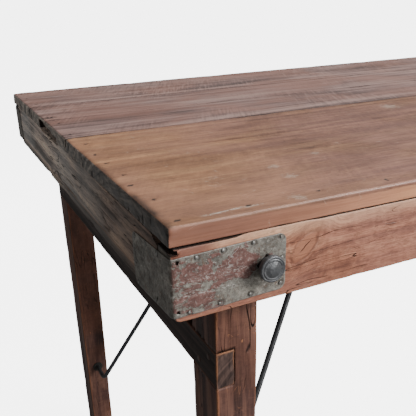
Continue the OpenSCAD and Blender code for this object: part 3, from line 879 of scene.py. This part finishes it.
def nosing(points):
    """A round nose on the front board: full along the front, softer round its ends."""
    front = ease(points[:, 1], FRONT_Y + 12 * MM, FRONT_Y + 5 * MM)
    end, upper = upper_end(points)
    ragged = 1 + 0.35 * fractal(points, [0.05, 0.02, 0.02], 31)
    return MM * (1.0 + 0.8 * np.maximum(front, 3.5 * end) * upper) * ragged


def worn_end(points):
    """Small edges, and a worn-down upper edge at the ends of the grey boards."""
    end, upper = upper_end(points)
    ragged = 1 + 0.5 * fractal(points, 0.02, 33)
    return MM * (0.5 + 3.0 * end * upper * ragged)


# The broken slot in the left end, from front to back, and how far in from that end meshes are finer
SLOT_Y = (FRONT_Y + 0.394, FRONT_Y + 0.509)
FINE_X = LEFT_X + 0.34
FINE_END = {0: (FINE_X, 0.003)}


def rough(value, size, seed):
    """One-dimensional noise over an array of any shape."""
    points = np.stack([value.ravel(), np.zeros(value.size), np.zeros(value.size)], 1)
    return fractal(points, [size] * 3, seed, 4).reshape(value.shape)


def broken_slot(x, y, z):
    """The cells that are left round the broken slot in the left end of the middle boards."""
    roof = UPPER_Z - 8.5 * MM - 2.5 * MM * rough(y, 0.02, 5)
    roof = roof + 4.5 * MM * ease(y, SLOT_Y[0] + 76 * MM, SLOT_Y[0] + 90 * MM)
    deep = LEFT_X + 15 * MM + 6 * MM * rough(y, 0.015, 9)
    start = SLOT_Y[0] + 4 * MM * rough(z, 0.006, 3)
    return ~((y > start) & (y < SLOT_Y[1]) & (z < roof) & (x < deep))


def end_fissures(flat, normals):
    """Weathered grooves and short splits in the boards' left end, a few splits running in from it, and painted
    shade inside the broken slot and along the upper face's left end.
    """
    facing = np.clip(-normals[:, 0], 0, 1)
    grooves = np.maximum(0, fractal(flat, [0.02, 0.03, 0.0035], 41, 3) - 0.05)
    split = np.maximum(0, fractal(flat, [0.05, 0.006, 0.02], 43, 3) - 0.28)
    below = ease(flat[:, 2], UPPER_Z - 2 * MM, UPPER_Z - 8 * MM)
    depth = facing * (0.9 * MM * grooves + 3.0 * MM * split) * (0.15 + 0.85 * below)
    run = flat[:, 0] - LEFT_X
    thin = np.abs(fractal(flat, [0.1, 0.014, 0.05], 47, 2)) < 0.035
    some = fractal(flat, [0.2, 0.03, 1], 49, 1) > 0.42
    split_in = thin * ease(run, 0.045, 0.005) * (normals[:, 2] > 0.7) * some
    y, z = flat[:, 1], flat[:, 2]
    # Painted shade inside the broken slot.
    inside = (run > 1.2 * MM) & (run < 30 * MM) & (z < UPPER_Z - 3 * MM)
    inside = inside & (y > SLOT_Y[0] - 6 * MM) & (y < SLOT_Y[1] + 2 * MM)
    # Painted shade along the upper face's left end, stronger towards the front, for the shading of its
    # worn-round edge.
    margin = np.clip(normals[:, 2], 0, 1) * np.exp(-(run / (9 * MM)) ** 2)
    share = np.exp(-(y - FRONT_Y) / 0.16)
    margin = margin * (0.15 + 0.75 * share + 0.5 * (0.4 + share) * fractal(flat, [0.01, 0.03, 0.02], 53, 4))
    darkening = facing * ease(split, 0.02, 0.15) * below + 0.8 * split_in + inside + np.clip(margin, 0, 1)
    return depth + 0.5 * MM * split_in, darkening


def top_boards():
    lines = [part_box(n)[1].y for n in ("front_top_board", "front_middle_board", "back_middle_board")]
    timber("front_top_board", "front_board", 0, cross=0.0032, radius=nosing, gap=0.15 * MM,
           fine=FINE_END, spots=spots_over("front_top_board"), relief=0.7, wear=0.55, warp=0.3, seed=11,
           joints=lines[:1], more=end_fissures)
    for node, seed, beside in (("front_middle_board", 23, lines[:2]), ("back_middle_board", 37, lines[1:])):
        timber(node, "grey_boards", 0, cross=0.0034, radius=worn_end, gap=0.1 * MM,
               fine=FINE_END, keep=broken_slot, spots=spots_over(node), relief=0.9, wear=0.6, seed=seed,
               joints=beside, more=end_fissures)
    timber("back_top_board", "grey_boards", 0, radius=worn_end, gap=0.15 * MM,
           fine=FINE_END, spots=spots_over("back_top_board"), relief=0.7, wear=0.7, seed=51,
           joints=lines[2:], more=end_fissures)


def lost_top_corner(x, y, z):
    """The apron's end has lost its upper corner, which leaves a gap under the board."""
    reach = LEFT_X + 6 * MM + 3 * MM * rough(z, 0.004, 21)
    floor = UPPER_Z - 22.5 * MM - 4 * MM * rough(x, 0.005, 23)
    return ~((x < reach) & (z > floor))


# How far the lower edge of the front apron's left end sags
SAG = 2.2 * MM


def shut(run):
    """How tightly the joint over an apron is shut, from 0 to 1, at this distance from the end."""
    return 0.85 * ease(run, 0.058, 0.072) * ease(run, 0.15, 0.12)


def corner_bottom(radius):
    """Rounds the apron's two lower corners, opens its upper joint, and sags the front one's left end."""
    low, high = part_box("front_apron")

    def shape(points):
        points = points.copy()
        for side, corner in ((1, low.x), (-1, high.x)):
            along_x = side * (points[:, 0] - corner)
            up = points[:, 2] - low.z
            inside = (along_x < radius) & (up < radius)
            a = radius - np.maximum(along_x, 0)
            b = radius - np.maximum(up, 0)
            longest = np.maximum(np.maximum(a, b), 1e-9)
            length = np.maximum(np.hypot(a, b), 1e-9)
            pull = np.where(inside, longest / length, 1.0)
            points[:, 0] = np.where(inside, corner + side * (radius - a * pull), points[:, 0])
            points[:, 2] = np.where(inside, low.z + radius - b * pull, points[:, 2])
        run = -LEFT_X - np.abs(points[:, 0])
        outer = ease(np.abs(points[:, 1]), -FRONT_Y - 12 * MM, -FRONT_Y - 5 * MM)
        gape = 1.0 + 0.9 * fractal(points, [0.03, 1, 1], 57, 4) + 1.3 * ease(run, 0.1, 0.05)
        gape += 1.2 * np.maximum(0, fractal(points, [0.09, 1, 1], 59, 2))
        drop = np.clip(gape * (1 - shut(run)), 0.2, 3.2) * MM * outer
        points[:, 2] -= drop * np.clip((points[:, 2] - high.z + 14 * MM) / (14 * MM), 0, 1)
        share = np.clip((low.z + 30 * MM - points[:, 2]) / (30 * MM), 0, 1)
        sag = 2.0 * MM + SAG * np.exp(-(points[:, 0] - LEFT_X) / 0.2) * (points[:, 1] < 0)
        points[:, 2] -= sag * share
        return points
    return shape


def deeper(points):
    """Lets an end rail reach a little lower, like the aprons beside it."""
    low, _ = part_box("left_end_rail")
    points = points.copy()
    points[:, 2] -= 2.6 * MM * np.clip((low.z + 30 * MM - points[:, 2]) / (30 * MM), 0, 1)
    return points


# Holes that lost tacks left: distance round the plate from the table's corner, and height on the plate
LOST_TACKS = ((5.5 * MM, 49.5 * MM), (4.5 * MM, 5.0 * MM), (-33 * MM, 6 * MM))


def apron_gap(side):
    """Painted shade in the open joint under the board's edge and near the top of the apron's end, and painted
    shadow on the wood behind the holes in the corner plates; the apron's face sinks a little where it is
    darkened.
    """
    sheet_low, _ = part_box(f"{side}_left_corner_plate")
    bolt = (Vector(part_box(f"{side}_left_pivot_bolt")[0]) + Vector(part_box(f"{side}_left_pivot_bolt")[1])) / 2

    def more(flat, normals):
        outer = -SIDES[side] * flat[:, 1]
        near_front = ease(outer, -FRONT_Y - 12 * MM, -FRONT_Y - 4 * MM)
        run = -LEFT_X - np.abs(flat[:, 0])
        rise = flat[:, 2] - sheet_low.z
        darkening = np.zeros(len(flat))
        # Painted shadow on the wood behind the holes of lost tacks and behind the bolt's hole.
        for u, v in LOST_TACKS:
            darkening = np.maximum(darkening, np.exp(-(np.hypot(run - u, rise - v + 3 * MM) / (4.5 * MM)) ** 4))
        away = np.hypot(run - (-LEFT_X - abs(bolt.x)), flat[:, 2] - bolt.z)
        darkening = np.maximum(darkening, np.exp(-(away / (12 * MM)) ** 4)) * (outer > -FRONT_Y - 8 * MM)
        # Painted shade near the top of the apron's end, and in the open joint under the board: on the apron's
        # upper face and along its upper edge.
        top = flat[:, 2].max()
        sideways = 1 - np.clip(-SIDES[side] * normals[:, 1], 0, 1)
        inner = ease(run, 18 * MM, 10 * MM) * ease(flat[:, 2], top - 9 * MM, top - 6 * MM) * sideways
        darkening = np.maximum(darkening, inner)
        rim = np.exp(-((flat[:, 2] - top) / (1.3 * MM)) ** 2)
        rim = rim * ease(fractal(flat, [0.012, 1, 1], 63, 3), -0.35, 0.25)
        rim = 0.75 * rim * (1 - shut(run))
        darkening = np.maximum(darkening, np.maximum(np.clip(normals[:, 2], 0, 1), rim) * near_front)
        return 0.8 * MM * darkening * np.abs(normals[:, 1]), darkening
    return more


def aprons():
    timber("front_apron", "apron_wood", 0, cross=0.003, radius=1.8 * MM, gap=0.05 * MM,
           fine={0: (FINE_X, 0.0032)}, keep=lost_top_corner, shape=corner_bottom(8 * MM),
           wear=0.45, seed=61, more=apron_gap("front"))
    timber("back_apron", "apron_wood", 0, radius=1.8 * MM, gap=0.05 * MM,
           shape=corner_bottom(8 * MM), wear=0.8, seed=71, more=apron_gap("back"))


def rail_gap(x, y, z):
    """The crack between the boards and the end rail, wide at the front and closing towards the back."""
    run = (y - FRONT_Y) / 0.23
    open_by = 1.3 + 1.1 * rough(y, 0.018, 61) + 6.0 * ease(run, 0.21, 0.15) + 1.0 * rough(y, 0.006, 63)
    depth = 17 * MM + open_by * MM * (run < 1 + 0.05 * rough(z, 0.003, 65))
    cut = (z > UPPER_Z - depth) & (x < LEFT_X + 9 * MM + 3 * MM * rough(y, 0.01, 67))
    slot = (y > SLOT_Y[0]) & (y < SLOT_Y[1]) & (x < LEFT_X + 15 * MM)
    slot = slot & (z > UPPER_Z - 21 * MM + 3 * MM * rough(y, 0.015, 69))
    return ~(cut | slot)


def rail_face(end):
    """Long splits in an end rail's outer face, a low edge that has been planed back, and painted shade inside
    the crack under the boards.
    """
    def more(flat, normals):
        facing = np.clip(-end * normals[:, 0], 0, 1)
        split = np.abs(fractal(flat, [0.05, 0.26, 0.016], 77, 3))
        where = ease(fractal(flat, [0.1, 0.12, 0.05], 79, 2), -0.05, 0.25)
        crack = ease(split, 0.04, 0.008) * where
        low = 0.5 * ease(UPPER_Z - flat[:, 2], 67.5 * MM, 70.5 * MM)
        ridges = np.maximum(0, fractal(flat, [0.05, 0.1, 0.0045], 81, 3))
        # Painted shade on the faces inside the crack between the boards and the rail.
        behind = end * flat[:, 0] > end * (end * LEFT_X) + 4.5 * MM
        gap_shade = behind & (flat[:, 2] > UPPER_Z - 25 * MM) & (np.abs(normals[:, 0]) > 0.5)
        shaped = facing * MM * (1.3 * crack + 1.2 * low + 0.9 * ridges * (1 - low))
        return shaped, facing * 0.55 * crack + 0.9 * gap_shade * (flat[:, 2] < UPPER_Z - 17 * MM) * facing
    return more


def end_rails():
    look = {"radius": 1.6 * MM, "shape": deeper, "relief": 2.0, "wear": 1.2}
    timber("left_end_rail", "end_wood", 1, step=0.003, cross=0.0018, keep=rail_gap, warp=0.7, seed=81,
           more=rail_face(1), **look)
    timber("right_end_rail", "end_wood", 1, step=0.005, cross=0.0026, seed=91, more=rail_face(-1), **look)


def battens():
    for n, node in enumerate(("left_batten", "centre_batten", "right_batten")):
        timber(node, "batten_wood", 1, cross=0.006, radius=2.0 * MM, wear=0.7, seed=101 + 7 * n)


def leg_taper(node, end):
    """Narrows a leg towards the floor on the side that faces the table's middle."""
    low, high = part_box(node)
    mesh = frame["nodes"][node].data
    foot = [abs(v.co.x - (low.x if end > 0 else high.x)) for v in mesh.vertices if v.co.z < 5 * MM]
    lap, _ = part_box("left_leg_rail")
    top_width = high.x - low.x
    foot_width = max(foot)
    outer = low.x if end > 0 else high.x

    def shape(points):
        share = np.clip(points[:, 2] / lap.z, 0, 1)
        width = foot_width + (top_width - foot_width) * share
        points = points.copy()
        points[:, 0] = outer + (points[:, 0] - outer) * width / top_width
        points[:, 2] = np.maximum(points[:, 2], 0)
        return points
    return shape


def leg_splits(seed):
    """Long splits that run down a leg, a little askew."""
    def more(flat, normals):
        lean = flat + np.stack([0.05 * flat[:, 2], 0.05 * flat[:, 2], np.zeros(len(flat))], 1)
        split = np.abs(fractal(lean, [0.017, 0.023, 0.26], seed, 2))
        where = ease(fractal(flat, [0.06, 0.06, 0.14], seed + 2, 2), 0.0, 0.25)
        crack = ease(split, 0.03, 0.006) * where
        return 0.9 * MM * crack, 0.5 * crack
    return more


def legs():
    for e, end in ENDS.items():
        lap_low, lap_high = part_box(f"{e}_leg_rail")

        def lap(x, y, z, lo=lap_low, hi=lap_high, k=end):
            beyond = x < hi.x if k > 0 else x > lo.x
            return ~(beyond & (z > lo.z) & (z < hi.z))

        for n, side in enumerate(SIDES):
            node = f"{side}_{e}_leg"
            timber(node, "leg_wood", 2, step=0.004, cross=0.002, radius=2.2 * MM, keep=lap,
                   shape=leg_taper(node, end), relief=1.6, wear=0.9, seed=131 + 17 * n + 5 * (end > 0),
                   more=leg_splits(173 + n))
        timber(f"{e}_leg_rail", "rail_wood", 1, step=0.005, cross=0.0035, radius=1.2 * MM, relief=1.6,
               wear=0.8, warp=0.25, seed=171 + 3 * (end > 0))


# ---- corner plates

# How much a plate drops per metre towards the table's corner, and the same for all the others
ASKEW = {("front", "left"): 0.032}
LEVEL = -0.004


def plate(side, e):
    """Sheet iron folded round a corner of the apron, dented, with the bolt's hole and some lost tacks."""
    node = f"{side}_{e}_corner_plate"
    low, high = corners(node)
    sign = np.array([ENDS[e], SIDES[side], 1])
    corner = np.where(sign > 0, low, high)
    thick = 0.8 * MM
    front_l, end_l, tall = high[0] - low[0], high[1] - low[1], high[2] - low[2]
    bolt = np.array(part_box(f"{side}_{e}_pivot_bolt")).mean(0)
    hole = np.array([abs(bolt[0] - corner[0]), bolt[2] - low[2]])
    pitch = 0.8 * MM
    u = np.linspace(-end_l, front_l, round((front_l + end_l) / pitch) + 1)
    v = np.linspace(0, tall, round(tall / pitch) + 1)
    uu, vv = (a.ravel() for a in np.meshgrid(u, v, indexing="ij"))
    flat = round_edges(np.stack([uu, vv], 1), np.array([-end_l, 0]), np.array([front_l, tall]), 7 * MM)
    seed = 200 + 3 * ENDS[e] + 7 * SIDES[side]
    rough3 = np.stack([flat[:, 0], flat[:, 1], np.zeros(len(flat))], 1)
    border = np.minimum.reduce([flat[:, 0] + end_l, front_l - flat[:, 0], flat[:, 1], tall - flat[:, 1]])
    flat[:, 1] += 0.35 * MM * fractal(rough3, 0.012, seed + 1) * np.exp(-border / (2 * MM))

    turn = math.radians(42)
    spin = np.array([[math.cos(turn), math.sin(turn)], [-math.sin(turn), math.cos(turn)]])
    local = (flat - hole) @ spin.T
    half_hole = 6.5 * MM
    reach = np.abs(local).max(1) / half_hole
    inside = (reach < 1) & (flat[:, 0] > 0)
    empty = inside.reshape(len(u), len(v))
    on_rim = ((reach < 1.22) & (reach >= 1) & (flat[:, 0] > 0))
    pulled = local / np.maximum(reach, 1e-6)[:, None]
    flat[on_rim] = (pulled @ spin)[on_rim] + hole
    tack_hole = 1.4 * MM
    for spot in LOST_TACKS:
        away = flat - np.array(spot)
        distance = np.linalg.norm(away, axis=1)
        empty |= (distance < tack_hole).reshape(len(u), len(v))
        rim = (distance >= tack_hole) & (distance < tack_hole + 0.75 * MM)
        flat[rim] = spot + away[rim] * (tack_hole / distance[rim])[:, None]

    lift = thick + 0.35 * MM * fractal(rough3, 0.03, seed, 3)
    lift += 0.7 * MM * np.maximum(0, fractal(rough3, 0.02, seed + 4)) * np.exp(-border / (3 * MM))
    # Painted shadow: the sheet darkens round the bolt's hole, where the head shades it; further down it also
    # darkens in a ring round each tack.
    bolt_shadow_and_tack_rings = 0.75 * np.exp(-np.maximum(reach - 1, 0) * 6) * (flat[:, 0] > 0)
    nails = []
    for centre, _, _ in islands(f"{side}_{e}_plate_nails"):
        on_front = abs(centre[1] - corner[1]) < abs(centre[0] - corner[0])
        where = abs(centre[0] - corner[0]) if on_front else -abs(centre[1] - corner[1])
        nails.append((centre.copy(), on_front, where))
        away = np.linalg.norm(flat - (where, centre[2] - low[2]), axis=1)
        lift -= 0.45 * MM * np.exp(-(away / (3 * MM)) ** 2)
        bolt_shadow_and_tack_rings = np.maximum(bolt_shadow_and_tack_rings, 0.6 * np.exp(-((away - 2.5 * MM) / (0.9 * MM)) ** 2))
    lift = np.clip(lift, 0.45 * MM, 1.1 * MM)

    bend = 1.6 * MM
    tilt = ASKEW.get((side, e), LEVEL)

    def askew(run):
        """The plate is nailed on a little crooked: how far it drops here, in metres."""
        return tilt * (np.minimum(run, 0) * 2.2 + run - np.minimum(run, 0) - front_l)

    def fold(offset):
        """Places the sheet at this height above the wood, round the corner's small bend."""
        run = flat[:, 0]
        x = np.where(run > 0, run, 0)
        y = np.where(run < 0, -run, 0)
        soft = np.exp(-(run / bend) ** 2) * bend * 0.35
        px = x + soft + thick - offset * (run <= 0)
        py = y + soft + thick - offset * (run > 0)
        return corner + sign * np.stack([px, py, flat[:, 1] + askew(run)], 1)

    outer, inner = fold(lift), fold(np.full(len(flat), 0.05 * MM))
    count = len(flat)
    cells = ~(empty[:-1, :-1] | empty[1:, :-1] | empty[:-1, 1:] | empty[1:, 1:])
    i, j = np.argwhere(cells).T
    wide = len(v)
    quad = np.stack([i * wide + j, (i + 1) * wide + j, (i + 1) * wide + j + 1, i * wide + j + 1], 1)
    edges = np.concatenate([quad[:, [a, (a + 1) % 4]] for a in range(4)])
    pairs = {(a, b) for a, b in edges.tolist()}
    rim = np.array([(a, b) for a, b in pairs if (b, a) not in pairs])
    walls = np.stack([rim[:, 1], rim[:, 0], rim[:, 0] + count, rim[:, 1] + count], 1)
    faces = np.concatenate([quad, quad[:, ::-1] + count, walls])
    if sign[0] * sign[1] < 0:
        faces = faces[:, ::-1]
    points = np.concatenate([outer, inner])
    used, faces = np.unique(faces, return_inverse=True)
    faces = faces.reshape(-1, 4)
    edge = np.tile(np.exp(-border / (0.7 * MM)), 2)
    grime_and_shade = np.tile(bolt_shadow_and_tack_rings, 2)
    make_piece(f"{node}_tin", points[used], faces, "table_top", "sheet_iron", [node],
               {"edge": edge[used], "dirt_and_shade_mark": np.clip(grime_and_shade, 0, 1)[used]})
    heads = []
    for n, (at, on_front, where) in enumerate(nails):
        normal = (0, -sign[1], 0) if on_front else (-sign[0], 0, 0)
        at[int(on_front)] = corner[int(on_front)]
        at[2] += float(askew(np.array(where)))
        lean = 0.16 * np.array([math.sin(5 * n), math.cos(3 * n), math.sin(7 * n + 1)])
        heads.append(tack(at, Vector(normal) + Vector(lean), seed + n))
    make_piece(f"{side}_{e}_tack_heads", *join(heads), "table_top", "tacks", [f"{side}_{e}_plate_nails"])


def tack(at, direction, seed):
    """A tack's domed head, a little bent, on a short stretch of its shank."""
    r = (1.6 + 0.2 * math.sin(seed * 2.7)) * MM
    shank = [(0.9 * MM, -9 * MM), (1.0 * MM, -0.6 * MM)]
    dome = ((0.92, -0.5), (1, -0.2), (0.97, 0.15), (0.8, 0.5), (0.5, 0.78), (0.15, 0.88))
    profile = shank + [(r * share, up * MM) for share, up in dome]
    return lathe(profile, 20, at, direction.normalized(), seed, 0.22 * MM)


def corner_plates():
    for side in SIDES:
        for e in ENDS:
            plate(side, e)


# ---- small metal

# How far in from the rim and how far up from the head's back, in millimetres
BOLT_FACE = ((0.9, 0), (0.25, 0.3), (0, 1), (0, 3.9), (0.3, 4.6), (1, 5.1), (1.7, 5.2), (2.1, 4.8),
             (2.6, 4.9), (2.9, 5.5), (3.5, 5.6), (4, 5), (5, 5.4), (6.5, 6.1), (8, 6.6), (9.5, 6.8))


def pivot_bolts():
    """Coach bolts: a rolled rim, a shallow groove and a low dome, on a square neck and a plain shank."""
    for side, toward in SIDES.items():
        for e in ENDS:
            node = f"{side}_{e}_pivot_bolt"
            low, high = corners(node)
            middle = (low + high) / 2
            r = (high[0] - low[0]) / 2
            shank_r = 5 * MM
            head_t = 7.5 * MM
            length = high[1] - low[1] - head_t
            back = [(shank_r, -length), (shank_r, -7 * MM), (shank_r, 0)]
            face = [(r - inward * MM, up * MM) for inward, up in BOLT_FACE] + [(1.0 * MM, 6.9 * MM)]
            at = middle.copy()
            at[1] = low[1] + head_t if toward > 0 else high[1] - head_t
            head = lathe(back + face, 72, at, (0, -toward, 0), 300, 0.3 * MM)
            neck_r = shank_r + 0.2 * MM
            neck_low, neck_high = middle - neck_r, middle + neck_r
            neck_low[1], neck_high[1] = sorted((at[1], at[1] + toward * 6 * MM))
            planes = [cuts(neck_low[a], neck_high[a], 2 * MM, 0.6 * MM) for a in range(3)]
            neck_points, neck_quads = lattice_block(planes)
            neck_points = round_edges(neck_points, neck_low, neck_high, 0.6 * MM)
            bolt = join([head, (neck_points, neck_quads)])
            make_piece(f"{node}_forged", *bolt, "table_top", "bolt_steel", [node])


def stays():
    """Each leg frame's stay: one round bar, bent at the foot and at the head."""
    for e, end in ENDS.items():
        arm_low, arm_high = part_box(f"back_{e}_stay_arm")
        bar_low, bar_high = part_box(f"{e}_stay_cross_bar")
        r = 4 * MM
        tip_y = arm_high.y
        foot = (arm_low.x + r if end > 0 else arm_high.x - r, tip_y - 73 * MM, arm_low.z + r)
        head = (bar_high.x - r if end > 0 else bar_low.x + r, bar_high.y - 10.6 * MM, bar_high.z - r)
        half = [(foot[0], tip_y, foot[2]), foot, head]
        path = half + [(x, -y, z) for x, y, z in reversed(half)]
        make_piece(f"{e}_stay_bar", *rod(path, 14 * MM, r, 20, 600), f"{e}_stay", "black_iron",
                   [f"front_{e}_stay_arm", f"back_{e}_stay_arm", f"{e}_stay_cross_bar"])


def nail_heads():
    """The sunk heads of the nails in the top."""
    for node in NAIL_NODES:
        heads = []
        for n, (centre, _, _) in enumerate(islands(node)):
            at = (centre[0], centre[1], UPPER_Z - 1.35 * MM)
            tilt = Vector((0.1 * math.sin(3 * n), 0.1 * math.cos(5 * n), 1)).normalized()
            r = 2.1 * MM
            profile = [(1.2 * MM, -20 * MM), (1.3 * MM, -0.8 * MM), (r, -0.5 * MM), (r, 0.0),
                       (r * 0.85, 0.3 * MM), (r * 0.3, 0.35 * MM)]
            heads.append(lathe(profile, 16, at, tilt, 400 + n, 0.2 * MM))
        make_piece(f"{node}_heads", *join(heads), "table_top", "nails", [node])


def rail_pegs():
    """The ends of the pegs that hold each rail in its legs."""
    for e, end in ENDS.items():
        heads = []
        for n, (centre, low, high) in enumerate(islands(f"{e}_rail_pegs")):
            start = high[0] if end > 0 else low[0]
            length = high[0] - low[0]
            r = (high[1] - low[1]) / 2
            profile = [(r * 0.92, 0), (r, 1 * MM), (r, length - 1.0 * MM), (r * 0.93, length - 0.4 * MM),
                       (r * 0.6, length - 0.1 * MM), (r * 0.2, length)]
            heads.append(lathe(profile, 20, (start, centre[1], centre[2]), (-end, 0, 0), 500 + n, 0.3 * MM))
        make_piece(f"{e}_rail_peg_ends", *join(heads), f"{e}_leg_frame", "peg_wood", [f"{e}_rail_pegs"])


def dress_cad_nodes():
    """Gives the CAD nodes that stay their materials, and softens the sharp ones."""
    replaced = ("_board", "_apron", "_end_rail", "_batten", "_leg", "_leg_rail", "_corner_plate",
                "_pivot_bolt", "_stay_arm", "_stay_cross_bar")
    slots = {entry["node"]: entry["material_slot"] for entry in frame["record"]["subparts"]}
    for node, piece in frame["nodes"].items():
        if node.endswith(replaced):
            continue
        piece.data.materials.clear()
        piece.data.materials.append(MATERIALS[slots[node]])
        if node.endswith(("_nut", "_catch", "_washer", "_spacer", "_bushes")):
            bevel = piece.modifiers.new("soft_edges", "BEVEL")
            bevel.width = 0.4 * MM
            bevel.segments = 2
            bevel.limit_method = "ANGLE"


# ---- stage

def floor():
    """A pale floor that curves up into a pale backdrop. It doesn't throw light back at the table."""
    reach, bend, tall, segments = 14.0, 5.0, 16.0, 96
    profile = [(0.02, 0.0)]
    profile += [(reach * n / 12, 0.0) for n in range(1, 13)]
    for n in range(1, 13):
        turn = math.pi / 2 * n / 12
        profile.append((reach + bend * math.sin(turn), bend * (1 - math.cos(turn))))
    profile.append((reach + bend, tall))
    points, faces = lathe(profile, segments, (0, 0, 0), (0, 0, 1))
    s = Shader("pale_floor")
    color = s.mix(s.noise(0.6, 3, 0.5), (0.9, 0.9, 0.9), (0.88, 0.88, 0.88))
    pale = s.done(color, 0.8, Emission_Color=(1, 1, 1, 1), Emission_Strength=5.0)
    ground = make_object("floor", points, faces[:-1], pale)
    ground.visible_diffuse = False
    ground.visible_glossy = False


def area_light(name, at, target, size, power):
    data = bpy.data.lights.new(name, "AREA")
    data.shape = "DISK"
    data.size = size
    data.energy = power
    lamp = bpy.data.objects.new(name, data)
    lamp.location = at
    lamp.rotation_mode = "QUATERNION"
    lamp.rotation_quaternion = (Vector(target) - Vector(at)).to_track_quat("-Z", "Y")
    bpy.context.scene.collection.objects.link(lamp)


def lights():
    target = (-0.5, -0.1, 0.7)
    area_light("key", (1.6, -2.9, 2.7), target, 1.6, 250)
    area_light("high", (0.5, 0.4, 3.3), target, 2.0, 75)
    area_light("low", (0.4, -3.6, 0.7), (-0.8, 0.0, 0.4), 1.6, 32)
    world = bpy.data.worlds.new("studio")
    world.use_nodes = True
    world.node_tree.nodes["Background"].inputs["Color"].default_value = (1, 1, 1, 1)
    world.node_tree.nodes["Background"].inputs["Strength"].default_value = 0.2
    bpy.context.scene.world = world


def camera():
    """Stands off the left front corner, above the top, and looks back along it, as the photo does."""
    data = bpy.data.cameras.new("camera")
    data.sensor_width = 36
    data.lens = 51.05
    data.shift_y = 0.0986
    data.clip_start = 0.05
    eye = bpy.data.objects.new("camera", data)
    forward = Vector((0.3849, 0.8296, -0.4045)).normalized()
    right = Vector((0.9021, -0.4308, -0.0252))
    right = (right - forward * right.dot(forward)).normalized()
    up = right.cross(forward)
    turn = Matrix((right, up, -forward)).transposed().to_4x4()
    corner = Vector((LEFT_X, FRONT_Y, UPPER_Z))
    eye.matrix_world = Matrix.Translation(corner + Vector((-0.1467, -0.3884, 0.1656))) @ turn
    bpy.context.scene.collection.objects.link(eye)
    bpy.context.scene.camera = eye


top_boards()
aprons()
end_rails()
battens()
legs()
corner_plates()
pivot_bolts()
stays()
nail_heads()
rail_pegs()
dress_cad_nodes()
floor()
lights()
camera()
